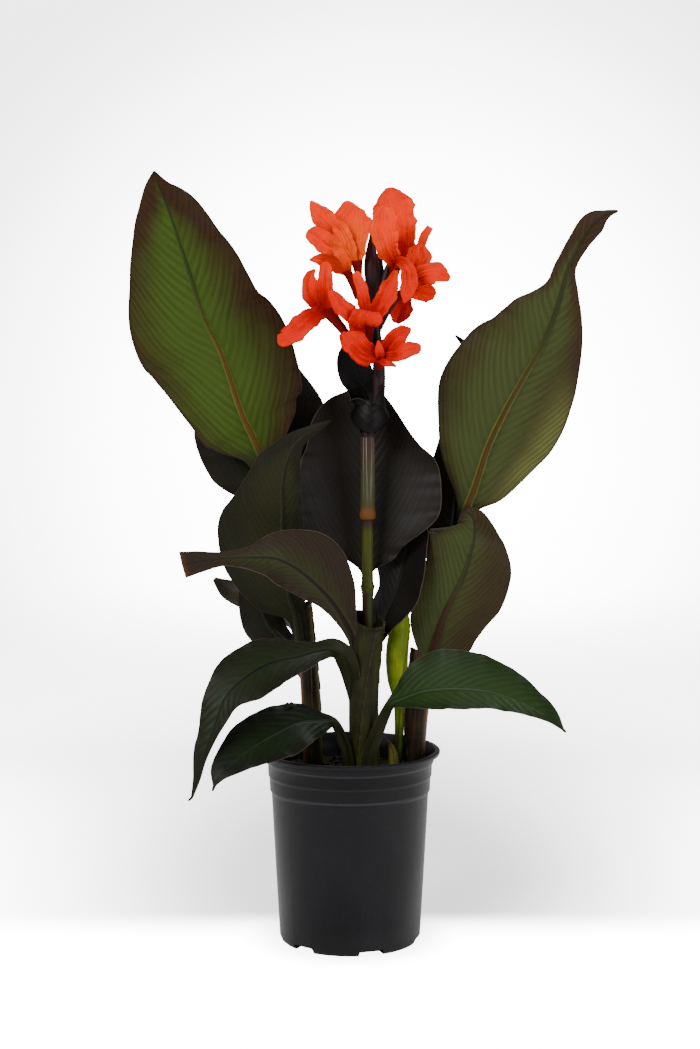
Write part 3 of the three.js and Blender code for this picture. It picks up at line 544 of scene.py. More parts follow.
def wrapped(name, points, marks):
    """A piece from a grid primitive whose rows are laid round the sections of a blade or stem.

    The last column lies on the first one, and where the points of a row fall together the end
    closes.
    """
    deselect()
    rows, columns = points.shape[0] - 1, points.shape[1] - 1
    bpy.ops.mesh.primitive_grid_add(x_subdivisions=columns, y_subdivisions=rows, size=1)
    piece = named(name)
    places = np.empty(3 * len(piece.data.vertices))
    piece.data.vertices.foreach_get("co", places)
    places = places.reshape(-1, 3) + 0.5
    column = np.rint(places[:, 0] * columns).astype(int)
    row = np.rint(places[:, 1] * rows).astype(int)
    piece.data.vertices.foreach_set("co", (points[row, column] * MM).ravel())
    for mark, values in marks.items():
        layer = piece.data.attributes.new(mark, "FLOAT", "POINT")
        layer.data.foreach_set("value", values[row, column].astype(np.float32))
    bpy.ops.object.mode_set(mode="EDIT")
    bpy.ops.mesh.select_all(action="SELECT")
    bpy.ops.mesh.remove_doubles(threshold=MERGE)
    bpy.ops.mesh.normals_make_consistent(inside=False)
    bpy.ops.object.mode_set(mode="OBJECT")
    return piece


def joined(name, pieces):
    """Pieces joined into one, under a name."""
    select(*pieces)
    if len(pieces) > 1:
        bpy.ops.object.join()
    return named(name)


def finish_piece(piece, material, nodes, angle=50):
    """Smooths a piece, gives it its material and puts it on the body in place of its nodes."""
    select(piece)
    bpy.ops.object.shade_smooth_by_angle(angle=math.radians(angle))
    piece.data.materials.clear()
    piece.data.materials.append(material)
    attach(piece, BODY)
    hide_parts(*nodes)
    return piece


def blade_columns(widths, keel, count):
    """Shares of the half width at which a blade's columns lie: a few on the keel, then evenly."""
    edge = np.clip(keel / widths, *KEEL_SHARE)[:, None]
    on_keel = edge * np.linspace(0, 1, KEEL_COLUMNS + 1)[None, 1:]
    beyond = edge + (1 - edge) * np.linspace(0, 1, count + 1)[None, 1:]
    return np.hstack([on_keel, beyond])


def blade(name, look, thickness, row_spacing, column_spacing, extra=None):
    """A leaf or petal: a closed blade along its midrib, with a keel on the underside."""
    rows = look["rows"]
    t, along = even_places(rows, row_spacing)
    middle, slope = spline([row[:3] for row in rows], t)
    halves, _ = spline([(row[3], row[-1]) for row in rows], t)
    ragged, seed = look.get("ragged", (0, 0))
    torn = np.stack([waves(along, TEAR_LENGTH, seed + side) for side in (0, 2)], axis=1)
    halves = np.maximum(halves * (1 + ragged * torn * smooth_step(halves, 2, 6)), NARROWEST)
    curls = look["curl"] if isinstance(look["curl"], tuple) else [look["curl"]] * len(rows)
    bend, _ = spline([(curl,) for curl in curls], t)
    fold = look["fold"]
    forward = unit(slope)
    toward = np.array(look["face"], float)
    out = unit(toward - forward * (forward @ toward)[:, None])
    right = np.cross(forward, out)
    keel_width, keel_depth = look["rib"]
    taper = (1 - t) ** KEEL_TAPER
    keel = keel_width * taper + thickness / 2
    count = int(np.clip(halves.max() / column_spacing, *COLUMN_COUNTS))
    left_q, right_q = (blade_columns(half, keel, count) for half in halves.T)
    q = np.hstack([-left_q[:, ::-1], np.zeros((len(t), 1)), right_q])
    width = np.where(q < 0, halves[:, :1], halves[:, 1:])
    reach = (np.sin(fold + bend) - math.sin(fold)) / bend
    length = width / np.maximum(reach, LEAST_REACH)
    part = np.abs(q)
    side = length * (np.sin(fold + bend * part) - math.sin(fold)) / bend
    rise = length * (math.cos(fold) - np.cos(fold + bend * part)) / bend
    height, number = look["wave"]
    ripple = height * np.minimum(width / FULL_WAVE_WIDTH, 1) * q * q
    ripple = ripple * np.sin(TURN * number * t[:, None] + WAVE_LAG * q)
    across = part * width
    vein = (along[:, None] - across * (VEIN_LEAN + VEIN_SWEEP * part)) / look["veins"]
    rib = across / keel[:, None]
    relief = extra(t[:, None], along[:, None], q, width, vein, rib) if extra else 0
    surface = (
        middle[:, None]
        + right[:, None] * (np.sign(q) * side)[..., None]
        + out[:, None] * (rise + ripple + relief)[..., None]
    )
    normal = unit(np.cross(np.gradient(surface, axis=1), np.gradient(surface, axis=0)))
    ridge = keel_depth * taper[:, None] * np.clip(1 - rib ** 2, 0, 1) ** 0.8
    groove = np.minimum(ridge / 4, 0.9) * np.clip(1 - (1.6 * rib) ** 2, 0, 1)
    underside = look.get("underside", False)
    above = thickness / 2 + (ridge if underside else -groove)
    below = thickness / 2 + (-groove if underside else ridge)
    closing = np.ones((len(t), 1))
    closing[[0, -1]] = 0
    shown = surface + normal * (above * closing)[..., None]
    hidden = surface - normal * (below * closing)[..., None]
    points = np.concatenate([shown, hidden[:, ::-1], shown[:, :1]], axis=1)

    def round_section(values, far=None):
        values = np.broadcast_to(values, q.shape)
        far = values if far is None else np.broadcast_to(far, q.shape)
        return np.concatenate([values, far[:, ::-1], values[:, :1]], axis=1)

    marks = {
        "across": round_section(q),
        "along": round_section(t[:, None]),
        "vein": round_section(vein),
        "rib": round_section(np.minimum(rib, 8)),
        "under": round_section(float(underside), float(not underside)),
        "petal": round_section(look.get("petal", 1.0)),
    }
    return wrapped(name, points, marks)


def tube(name, rows, sides, shape=None, mouth=None, mark=0.0):
    """A closed round stem along rows of x, y, z and radius, with an optional change of shape.

    A mouth is how far its lip slants, the turn at which the lip is highest, and its depth.
    """
    t, along = even_places(rows, STEM_ROW)
    middle, slope = spline([row[:3] for row in rows], t)
    radius, _ = spline([row[3:] for row in rows], t)
    forward = unit(slope)
    side = unit(np.array([1.0, 0, 0]) - forward * forward[:, :1])
    back = np.cross(forward, side)
    turn = np.linspace(0, TURN, sides + 1)[None]
    reach = np.maximum(radius, NARROWEST) + 0 * turn
    if shape:
        reach = reach + shape(t[:, None], along[:, None], turn)
    spoke = side[:, None] * (reach * np.cos(turn))[..., None]
    spoke = spoke + back[:, None] * (reach * np.sin(turn))[..., None]
    points = middle[:, None] + spoke
    if mouth:
        slant, high, depth = mouth
        lift = slant * np.cos(turn - high) * smooth_step(t, 0.8, 1)[:, None]
        points = points + forward[:, None] * lift[..., None]
        sink = [
            points[-1] - spoke[-1] * (0.12 + 0.3 * part) - forward[-1] * depth * part
            for part in (0, 0.3, 0.7, 1)
        ]
        points = np.concatenate([points, sink])
        middle = np.concatenate([middle, np.repeat(middle[-1:] - depth * forward[-1:], 4, axis=0)])
        t = np.concatenate([t, [1.05, 1.1, 1.15, 1.2]])
    points[:, -1] = points[:, 0]
    ends = [np.repeat(middle[[k]][:, None], sides + 1, axis=1) for k in (0, -1)]
    points = np.concatenate([ends[0], points, ends[1]])
    t = np.concatenate([t[:1], t, t[-1:]])
    flat = np.zeros((len(t), sides + 1))
    marks = {
        "across": flat + turn / TURN, "along": flat + t[:, None], "vein": flat, "rib": flat,
        "under": flat, "petal": flat + mark,
    }
    return wrapped(name, points, marks)


def size_setting(name, description, default, least=0):
    """A length in metres that the sidebar shows."""
    return FloatProperty(
        name=name, description=description, default=default, min=least, subtype="DISTANCE",
        unit="LENGTH",
    )


def share_setting(name, description, default, most=1):
    """A share between 0 and most."""
    return FloatProperty(
        name=name, description=description, default=default, min=0, max=most, subtype="FACTOR",
    )


def colour_setting(name, description, code):
    """A colour, given as a hex code."""
    return FloatVectorProperty(
        name=name, description=description, default=linear(code), size=4, min=0, max=1,
        subtype="COLOR",
    )


class PotSettings(bpy.types.PropertyGroup):
    height: size_setting("Height", "Height of the pot's rim above the floor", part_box("pot")[1][2], 0.05)
    rim_radius: size_setting("Rim radius", "Outer radius of the rolled rim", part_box("pot")[1][0], 0.03)
    sides: IntProperty(name="Sides", description="Steps round the pot", default=192, min=24, max=512)
    plastic: colour_setting("Plastic", "Colour of the moulded plastic", "0b0b0e")


class SoilSettings(bpy.types.PropertyGroup):
    level: size_setting("Level", "Height of the soil above the floor", 0.157, 0.02)
    crumbs: IntProperty(
        name="Crumbs", description="Crumbs and bits of bark on the soil", default=420, min=0,
    )
    peat: colour_setting("Peat", "Colour of the damp soil", "0b0805")


class LeafSettings(bpy.types.PropertyGroup):
    thickness: size_setting("Thickness", "Thickness of a blade beside its midrib", 0.0007, 0.0003)
    pleat: size_setting("Pleats", "Depth of the pleats along the lateral veins", 0.00024)
    ripple: size_setting("Ripple", "Height of the small waves along the margins", 0.0012)
    gloss: share_setting("Roughness", "Roughness of the leaf skin", 0.4)
    shine: share_setting("Shine", "Strength of the leaf skin's reflection", 0.11)


class StemSettings(bpy.types.PropertyGroup):
    sides: IntProperty(name="Sides", description="Steps round a stem", default=64, min=12)
    sheath_step: size_setting("Sheath edge", "How far the edge of a leaf sheath stands proud", 0.0008)


class FlowerSettings(bpy.types.PropertyGroup):
    thickness: size_setting("Thickness", "Thickness of a petal", 0.0006, 0.0003)
    ruffle: size_setting("Ruffle", "Height of the waves along the edge of a petal", 0.0018)
    ragged: share_setting("Ragged", "How uneven the outline of a petal is", 0.11, 0.4)
    petal: colour_setting("Petal", "Main colour of the petals", "e02800")
    throat: colour_setting("Throat", "Colour of the bloom's throat", "e65008")


class StageSettings(bpy.types.PropertyGroup):
    floor_radius: size_setting("Floor radius", "Radius at which the pale floor has faded out", 2.8, 0.3)
    backdrop: FloatProperty(
        name="Backdrop", description="Brightness of the white backdrop", default=17.0, min=0,
    )
    surround: FloatProperty(
        name="Surround", description="Brightness of the light from all round", default=0.35, min=0,
    )
    key_power: FloatProperty(
        name="Key light", description="Power of the large soft light", default=90, min=0,
        subtype="POWER", unit="POWER",
    )


POT_PROFILE = [
    # radius, height; the outside from the foot up, over the rim and down the inside
    (0, 1.6), (56, 1.6), (58, 0), (61.5, 0), (63, 1.2), (64.6, 5), (68.3, 72), (71.7, 136.5),
    (71.9, 138), (73.2, 139.6), (73.3, 141), (73.7, 150.6), (73.8, 151.8), (74.7, 153.4),
    (74.8, 155), (75, 163), (76.2, 165.4), (77.2, 168), (77.4, 171.4), (78.2, 172),
    (80, 171.9), (81.6, 172.6), (82.4, 174.2), (82.3, 175.8), (81.2, 176.8), (79.6, 177),
    (78.1, 176.6), (76.4, 173.6), (74.9, 168.6), (73.4, 164), (73.2, 155), (72.2, 151.5),
    (71.8, 142), (70.2, 137.5), (66.8, 72), (63, 6), (61.4, 3.2), (0, 3.2),
]
POT_HEIGHT = 177
RIM_RADIUS = 82.4
POT_SLOTS = 6
FIRST_SLOT = math.radians(18)
SLOT_SIZE = (23, 16, 11)


def turned(profile, steps):
    """A turned shape: one corner drawn out along the profile point by point, then spun."""
    deselect()
    bpy.ops.mesh.primitive_plane_add(size=MM)
    piece = bpy.context.object
    bpy.ops.object.mode_set(mode="EDIT")
    bpy.ops.mesh.select_all(action="SELECT")
    bpy.ops.mesh.merge(type="CENTER")
    bpy.ops.transform.translate(value=profile[0])
    for start, end in zip(profile, profile[1:]):
        bpy.ops.mesh.extrude_region_move(TRANSFORM_OT_translate={"value": end - start})
    bpy.ops.mesh.select_all(action="SELECT")
    bpy.ops.mesh.spin(steps=steps, angle=TURN, center=(0, 0, 0), axis=(0, 0, 1))
    bpy.ops.mesh.select_all(action="SELECT")
    bpy.ops.mesh.remove_doubles(threshold=10 * MERGE)
    bpy.ops.mesh.normals_make_consistent(inside=False)
    bpy.ops.object.mode_set(mode="OBJECT")
    return piece


def pot_shell(settings):
    """The pot's wall, rim and floor at the size that the settings give."""
    scale = settings.rim_radius / (RIM_RADIUS * MM)
    tall = settings.height / (POT_HEIGHT * MM)
    profile = [Vector((radius * MM * scale, 0, height * MM * tall)) for radius, height in POT_PROFILE]
    return turned(profile, settings.sides)


def slot_cutter(index):
    """A rounded block that cuts one drain slot out of the pot's foot."""
    turn = FIRST_SLOT + TURN * index / POT_SLOTS
    middle = Vector((math.sin(turn), -math.cos(turn), 0)) * 63 * MM
    deselect()
    bpy.ops.mesh.primitive_cube_add(size=1, location=middle, rotation=(0, 0, turn))
    cutter = bpy.context.object
    cutter.scale = [size * MM for size in SLOT_SIZE]
    bpy.ops.object.transform_apply(location=True, rotation=True, scale=True)
    bevel = cutter.modifiers.new("Round", "BEVEL")
    bevel.width = 2.5 * MM
    bevel.segments = 3
    bpy.ops.object.modifier_apply(modifier=bevel.name)
    return cutter


class CANNA_OT_pot(bpy.types.Operator):
    """Model the nursery pot with its bands, rolled rim and drain slots"""

    bl_idname = "canna.pot"
    bl_label = "Pot"

    def execute(self, context):
        settings = context.scene.canna_pot
        pot = pot_shell(settings)
        cutters = joined("slots", [slot_cutter(index) for index in range(POT_SLOTS)])
        cut = pot.modifiers.new("Slots", "BOOLEAN")
        cut.operation = "DIFFERENCE"
        cut.solver = "EXACT"
        cut.object = cutters
        select(pot)
        bpy.ops.object.modifier_apply(modifier=cut.name)
        bpy.data.objects.remove(cutters)
        finish_piece(named("nursery_pot"), plastic_finish(settings), ["pot"], angle=32)
        return {"FINISHED"}


def plastic_finish(settings):
    """Moulded plastic: faint vertical flow marks, a fine grain and pale scuffs, with painted highlights
    on the band ridges and the rim's inner lip and painted shade on the bands and inside the pot.
    """
    finish = Finish("moulded_plastic")
    place = finish.place()
    x, y, z = finish.parts(place)
    cloud = finish.noise(place, 22, 3)
    turn = y.math("ARCTAN2", y, x)
    flow = finish.noise(finish.vector(turn * 6, z * 5, 0.0), 3, 3)
    grain = finish.noise(place, 2600, 2)
    dust = finish.noise(place, 420, 4).rise(0.6, 0.75)
    foot = 1 - z.rise(0.0, 0.03)
    shade = finish.mix(cloud.rise(0.35, 0.7) * 0.5, tuple(settings.plastic), linear("141317"))
    # Painted shade: the bands under the rim are darkened.
    bands = z.rise(0.137, 0.14) * (1 - z.rise(0.163, 0.168))
    # Painted highlights: light lines along the ridges between the bands.
    edges = [
        ((1 - abs(z - edge).rise(0.0002, 0.0016)) * (0.4 + 0.6 * flow), "302f33")
        for edge in (0.1405, 0.1535, 0.1655)
    ]
    radius = finish.distance(finish.vector(x, y, 0.0), (0, 0, 0))
    # Painted shade: everything above 150 mm and within about 76 mm of the axis, the inside of the pot and
    # its upper bands, is darkened.
    inside = z.rise(0.15, 0.155) * (1 - radius.rise(0.0755, 0.0765))
    # Painted highlight on the front of the rim's inner lip.
    glint = (1 - abs(radius - 0.0785).rise(0.0004, 0.0016)) * z.rise(0.172, 0.1745)
    glint = glint * (1 - abs(x).rise(0.008, 0.024)) * (1 - y.rise(-0.03, -0.02))
    shade = finish.coats(
        shade, (dust * 0.12 + foot * cloud * 0.25, "3c3a37"), (bands * 0.6, "050506"), *edges,
        (inside * 0.85, "020202"), (glint, "a8957c"),
    )
    relief = grain * 0.25 + flow * 0.6 + cloud * 0.3
    return finish.skin(
        shade, 0.3 + 0.12 * cloud + 0.08 * flow + dust * 0.1, 0.17,
        (relief, 0.25, 0.0004),
    )


SOIL_PROFILE_OUT = [(60.4, 3.6), (62.6, 6), (66.4, 72), (69.8, 137), (71.4, 142), (71.8, 151)]
SOIL_TOP_RINGS = 44
SOIL_SIDES = 200
SOIL_FOOT = 3.6
SOIL_EDGE = 72.6


def soil_heap(settings):
    """The filled body of soil, turned like the pot, with its top pushed into lumps."""
    level = settings.level / MM
    top = [(SOIL_EDGE * ring / SOIL_TOP_RINGS, level) for ring in range(SOIL_TOP_RINGS, -1, -1)]
    profile = [(0, SOIL_FOOT)] + SOIL_PROFILE_OUT + top
    heap = turned([Vector((radius * MM, 0, height * MM)) for radius, height in profile], SOIL_SIDES)
    for vertex in heap.data.vertices:
        if vertex.co.z > settings.level - MM:
            vertex.co.z += soil_lump(vertex.co)
    return heap


def soil_lump(place):
    """How far the soil's top stands above its level at a place."""
    flat = Vector((place.x, place.y, 0))
    coarse = noise.noise(flat * 60)
    fine = noise.noise(flat * 260 + Vector((7, 3, 0)))
    grit = noise.noise(flat * 800 + Vector((1, 9, 0)))
    edge = smooth_step(np.array(flat.length / MM), 62, SOIL_EDGE)
    return MM * (1.6 * coarse + 1.1 * fine + 0.6 * grit - 2.5 * float(edge))


def crumb(index, draw, settings):
    """A crumb of peat or a chip of bark, lying on the soil."""
    radius = (SOIL_EDGE - 3) * math.sqrt(draw.random())
    turn = TURN * draw.random()
    size = 0.5 + 1.6 * draw.random() ** 3
    bark = index % 5 == 0
    place = Vector((radius * math.cos(turn), radius * math.sin(turn), 0)) * MM
    place.z = settings.level + soil_lump(place) + size * MM * 0.3
    bpy.ops.mesh.primitive_ico_sphere_add(subdivisions=1, radius=size * MM, location=place)
    piece = bpy.context.object
    piece.rotation_euler = [TURN * share for share in draw.random(3)]
    stretch = (2.6, 1.2, 0.5) if bark else (1.2, 1, 0.8)
    piece.scale = [s * (0.8 + 0.4 * share) for s, share in zip(stretch, draw.random(3))]
    if bark:
        piece.rotation_euler = (0.3 * draw.random(), 0.3 * draw.random(), TURN * draw.random())
    return piece


class CANNA_OT_soil(bpy.types.Operator):
    """Fill the pot with lumpy potting soil, crumbs and bits of bark"""

    bl_idname = "canna.soil"
    bl_label = "Soil"

    def execute(self, context):
        settings = context.scene.canna_soil
        heap = soil_heap(settings)
        draw = np.random.default_rng(4)
        crumbs = [crumb(index, draw, settings) for index in range(settings.crumbs)]
        select(*crumbs)
        bpy.ops.object.transform_apply(location=True, rotation=True, scale=True)
        soil = joined("soil_fill", [heap, *crumbs])
        finish_piece(soil, soil_finish(settings), ["soil"], angle=70)
        return {"FINISHED"}


def soil_finish(settings):
    """Damp peat with paler fibres and grit."""
    finish = Finish("damp_peat")
    place = finish.place()
    lumps = finish.noise(place, 140, 5, 0.65)
    fibres = finish.noise(place, 900, 3, 0.6)
    grit = finish.noise(place, 1500, 2).rise(0.62, 0.7)
    shade = finish.mix(lumps.rise(0.35, 0.65), tuple(settings.peat), linear("150f0a"))
    shade = finish.coats(shade, (fibres.rise(0.55, 0.75) * 0.5, "19120c"), (grit * 0.4, "1e1a15"))
    return finish.skin(shade, 0.85 + 0.1 * lumps, 0.04, (lumps + fibres * 0.5, 0.9, 0.001))


# The light line on a margin, and the shades that veins lay over the skin.
MARGIN_LINE = "5a4a3a"
DEEPER = (0.5, 0.48, 0.42, 1)
LIGHTER = (1.55, 1.5, 1.25, 1)


def leaf_relief(settings, seed):
    """Pleats along the lateral veins, and small uneven waves along the margins."""

    def relief(t, along, q, width, vein, rib):
        share = np.abs(q)
        open_blade = smooth_step(width, 6, 18) * smooth_step(rib, 0.9, 1.6)
        pleats = np.sin(TURN * vein) * open_blade * (1 - share ** 2)
        edge = waves(along + 3 * np.sign(q), 34, seed + np.sign(q)) * share ** 4
        edge = edge * smooth_step(width, 4, 14)
        sway = waves(along, 90, 2 * seed) * share ** 2 * smooth_step(width, 10, 30)
        return (settings.pleat * pleats + settings.ripple * (edge + 0.9 * sway)) / MM

    return relief


class CANNA_OT_leaves(bpy.types.Operator):
    """Model every leaf with its midrib, pleats and wavy margins"""

    bl_idname = "canna.leaves"
    bl_label = "Leaves"

    def execute(self, context):
        settings = context.scene.canna_leaf
        thickness = settings.thickness / MM
        for seed, (name, look) in enumerate(LEAVES.items()):
            relief = leaf_relief(settings, seed)
            piece = blade("blade_of_" + name, look, thickness, LEAF_ROW, LEAF_COLUMN, relief)
            extras = [tube(curl, rows, 16) for curl, rows in LEAF_CURLS.get(name, {}).items()]
            if name == "leaf_clasping":
                front = {**look, **HOOD_FRONT}
                extras.append(blade("hood_front", front, thickness, LEAF_ROW, HOOD_COLUMN, relief))
            piece = joined(piece.name, [piece, *extras])
            slot = "leaf_green" if name in GREEN_LEAVES else "leaf_bronze"
            finish_piece(piece, leaf_finish(name, settings), [name])
        return {"FINISHED"}


# The front of the hood that clasps the stalk, and small dried curls on tips and margins.
HOOD_FRONT = {
    "rows": [
        (18, -14, 465, 0.8), (18, -15, 468, 9), (18, -15.5, 473, 14), (18, -15, 481, 17),
        (18, -13, 489, 17, 16), (18, -10, 496, 13, 12),
    ],
    "curl": -1.3, "fold": -0.1, "wave": (0.5, 2), "rib": (0.5, 0.5),
}
LEAF_CURLS = {
    "leaf_low_left": {
        "curled_margin": [
            (-61, -38, 213, 0.8), (-59, -37, 219, 2), (-55, -36, 224, 2.6), (-50, -35, 222, 2.2),
            (-45, -34, 217, 0.8),
        ],
        "dried_tip": [(-117, -93, 165, 1.2), (-119, -94, 161, 1.3), (-120, -94, 158, 0.8)],
    },
    "leaf_droop_left": {
        "dried_tip": [(-137, -85, 154, 1), (-139, -84, 150, 1.2), (-142, -84, 147, 0.8)],
    },
    "leaf_low_right": {"dried_tip": [(183, -83, 214, 1), (187, -84, 210, 1.3), (189, -84, 208, 0.9)]},
}

GREEN_LEAVES = (
    "leaf_upper_left", "leaf_back_left", "leaf_mid_left", "leaf_back_low", "leaf_upper_right",
    "leaf_mid_right",
)


def leaf_finish(name, settings):
    """Leaf skin: colour that turns from the midrib to the margin, veins, midrib and light margin."""
    look = LEAVES[name]
    finish = Finish("skin_of_" + name)
    marks = (finish.mark(mark) for mark in ("across", "along", "vein", "rib", "under"))
    across, along, vein, rib, under = marks
    shown = under if look["underside"] else 1 - under
    place = finish.place()
    share = abs(across)
    on_right = across.rise(-0.02, 0.02)
    cloud = finish.noise(place, 16, 2)
    streak = finish.noise(finish.vector(vein * 0.9, share * 1.5, under * 5), 1.3, 3)
    vein = vein + 0.7 * (streak - 0.5)
    left_start, right_start = look["start"]
    start = left_start + on_right * (right_start - left_start)
    uneven = 0.5 * (streak - 0.5) + 0.5 * (cloud - 0.5)
    edge = (share + uneven + 1.2 * along.rise(*look["tip"]) - start).rise(-0.45, 0.4)
    back, front = (finish.blend(edge, *pair) for pair in (look["hidden"], look["shown"]))
    shade = finish.mix(shown, back, front)
    pleat = (vein * TURN).sine() * 0.5 + 0.5
    fine = (vein * (TURN * 4)).sine() * 0.5 + 0.5
    blade_part = rib.rise(1.1, 2.2) * (0.35 + 0.65 * streak.rise(0.3, 0.65))
    strength = blade_part * look["contrast"]
    for vein_share, tone in (
        ((pleat ** 2) * strength, DEEPER),
        (((1 - pleat) ** 4) * strength * shown, LIGHTER),
        ((fine ** 2) * strength * 0.5, DEEPER),
    ):
        shade = finish.mix(vein_share, shade, tone, "MULTIPLY")
    coats = [(along.rise(0.96, 1.0) * 0.8, look["dry"])]
    # The pale area is a painted highlight on a fold of the blade.
    if "pale" in look:
        (first, last), (inner, outer), pale = look["pale"]
        painted_highlight_area = along.rise(first - 0.1, first) * (1 - along.rise(last, last + 0.12))
        coats.append((painted_highlight_area * across.rise(inner, outer) * (0.5 + 0.5 * pleat), pale))
    rib_side = rib.rise(0.5, 0.75) * (1 - rib.rise(1.0, 1.3))
    rib_core = 1 - rib.rise(0.45, 0.75)
    rib_fade = 1 - along.rise(*look["rib_fade"])
    coats += [
        ((rib_core + rib_side) * (1 - rib_fade) * shown * 0.55, "14120a"),
        (rib_core * rib_fade * shown, look["midrib"][0]),
        (rib_side * rib_fade * shown * 0.9, look["midrib"][1]),
    ]
    if "petiole" in look:
        coats.append((1 - along.rise(*look["petiole"]), "1a1b09"))
    line = share.rise(0.985, 0.999) * look["rim"]
    coats += [(share.rise(0.93, 1.0) * 0.6, "0c0606"), (line, MARGIN_LINE)]
    height = pleat * 0.6 * blade_part + fine * 0.25 * blade_part + finish.noise(place, 900, 2) * 0.3
    return finish.skin(
        finish.coats(shade, *coats),
        settings.gloss + 0.1 * cloud + 0.08 * under + 0.06 * streak, settings.shine,
        (height, 0.35, 0.0004),
    )


def sheath_lines(step, edges):
    """A stem's change of radius: leaf sheaths that overlap along slanting edges."""

    def shape(t, along, turn):
        relief = 0 * turn + 0 * along
        for start, slant, width in edges:
            offset = np.mod(turn - start - slant * t, TURN)
            relief = relief + step * (1 - smooth_step(offset, 0, 0.12)) * smooth_step(offset, -0.01, 0.0)
            relief = relief + step * np.clip(1 - offset / width, 0, 1)
        return relief

    return shape


# Each stem: its name, its rows, the edges of its sheaths as start, slant and width round it, and the
# slant, highest side and depth of its open mouth.
STEM_PIECES = {
    "stem_centre": (
        "centre_stem", CENTRE_STEM, [(3.6, 2.2, 2.6), (1.2, -1.6, 3.0), (5.2, 1.2, 2.4)], (6, 2.2, 13),
    ),
    "stem_left": ("left_stem", LEFT_STEM, [(4.2, 1.4, 2.6), (0.8, -1.2, 3.0)], (6, 0.4, 8)),
    "stem_right": ("right_stem", RIGHT_STEM, [(4.4, -1.6, 2.6), (1.0, 1.3, 3.0)], (5, 3.4, 7)),
    "young_shoot": ("young_shoot_roll", YOUNG_SHOOT, [(4.0, 2.6, 2.8)], None),
    "sprout": ("sprout_tip", SPROUT, [(4.4, 1.0, 2.6)], None),
}
# Colours of each stem: its shaded and lit skin, the edge of a sheath, the foot, and the painted light and
# shade of its left and right sides, where the light comes through.
STEM_COLOURS = {
    "stem_centre": ("171706", "2b2b0c", "2e2a14", "343e0e", "1d1c08", "2a2b0c"),
    "stem_left": ("131106", "25240f", "4a3424", "0f0c07", "5a3426", "4a4716"),
    "stem_right": ("151005", "2a1f0d", "5a3a2c", "0f0c07", "1a100a", "6a5238"),
    "young_shoot": ("52620a", "7c8a16", "26340a", "26300f", "5c6a0e", "66700f"),
    "sprout": ("3a2010", "4a4a16", "5a4a26", "2a1c12", "3a3010", "4a4a16"),
}


class CANNA_OT_stems(bpy.types.Operator):
    """Model the leafy stems, the young shoot and the sprout"""

    bl_idname = "canna.stems"
    bl_label = "Stems"

    def execute(self, context):
        settings = context.scene.canna_stem
        step = settings.sheath_step / MM
        for node, (name, rows, edges, mouth) in STEM_PIECES.items():
            piece = tube(name, rows, settings.sides, sheath_lines(step, edges), mouth)
            finish_piece(piece, stem_finish(node), [node])
        return {"FINISHED"}


def stem_finish(node):
    """Smooth stem skin with lengthwise veins, a paler edge to each sheath, painted light and shade on its
    left and right sides and painted shade inside its open mouth.
    """
    shadow, lit, edge, foot, left, right = STEM_COLOURS[node]
    finish = Finish("skin_of_" + node)
    across = finish.mark("across")
    along = finish.mark("along")
    place = finish.place()
    lines = finish.noise(finish.vector(across * 26, along * 2.2, 0.0), 1.6, 2)
    cloud = finish.noise(place, 34, 3)
    # Painted light and shade on the left and right sides, where the light comes through the stem.
    painted_side_light_and_shade = (across * TURN + math.pi / 2).sine()
    coats = [
        (lines.rise(0.5, 0.75) * 0.45, edge), ((painted_side_light_and_shade * -1).rise(0.5, 0.98), left),
        (painted_side_light_and_shade.rise(0.5, 0.98), right),
    ]
    for start, slant, _ in STEM_PIECES[node][2]:
        offset = across - (start / TURN) - along * (slant / TURN)
        offset = offset.math("FRACT", offset)
        coats.append(((1 - offset.rise(0.0, 0.018)) * 0.75, edge))
        coats.append((offset.rise(0.965, 1.0) * 0.6, "15120d"))
    # The foot's own colour, then painted shade inside the open mouth.
    coats += [(1 - along.rise(0.15, 0.4), foot), (along.rise(1.02, 1.1) * 0.7, "120a06")]
    skin = finish.blend(cloud.rise(0.35, 0.65), shadow, lit)
    return finish.skin(
        finish.coats(skin, *coats), 0.4 + 0.15 * cloud, 0.12,
        (lines + finish.noise(place, 700, 2) * 0.3, 0.3, 0.0004),
    )


class CANNA_OT_stalk(bpy.types.Operator):
    """Model the flower stalk, the sheath on it and the spray with its buds"""

    bl_idname = "canna.stalk"
    bl_label = "Flower stalk"

    def execute(self, context):
        stalk = tube("green_stalk", FLOWER_STALK, 40)
        finish_piece(stalk, stalk_finish(), ["flower_stalk"])
        sheath = tube("stalk_wrap", STALK_SHEATH, 48)
        finish_piece(sheath, sheath_finish(), ["stalk_sheath"])
        parts = [tube("rachis", RACHIS, 36)]
        parts += [tube("bud", rows, 28, bud_shape(seed), mark=0.5) for seed, rows in enumerate(BUDS)]
        parts += [tube("bloom_stalk", rows, 20, mark=0.2) for rows in BLOOM_STALKS]
        spray = joined("spray", parts)
        finish_piece(spray, spray_finish(), ["flower_spray"])
        return {"FINISHED"}


def bud_shape(seed):
    """Folds that turn round a closed bud."""

    def shape(t, along, turn):
        return 0.55 * np.sin(3 * turn + 4 * t + seed) * smooth_step(t, 0.1, 0.4) * (1 - t)

    return shape


def stalk_finish():
    """Green stalk, reddish on one side, with a brown node."""
    finish = Finish("green_stalk")
    place = finish.place()
    x, y, z = finish.parts(place)
    lines = finish.noise(finish.vector(x * 900, y * 900, z * 14), 1.0, 2)
    shade = finish.blend(lines.rise(0.4, 0.7) * 0.5, "303405", "42400a")
    low = 1 - z.rise(0.318, 0.324)
    red = (1 - x.rise(0.0125, 0.0165)) * low
    coats = ((low * 0.6, "1e2108"), (red * 0.85, "3a100d"), (z.rise(0.374, 0.384) * 0.9, "26160a"))
    return finish.skin(finish.coats(shade, *coats), 0.42 + 0.1 * lines, 0.18, (lines, 0.25, 0.0003))


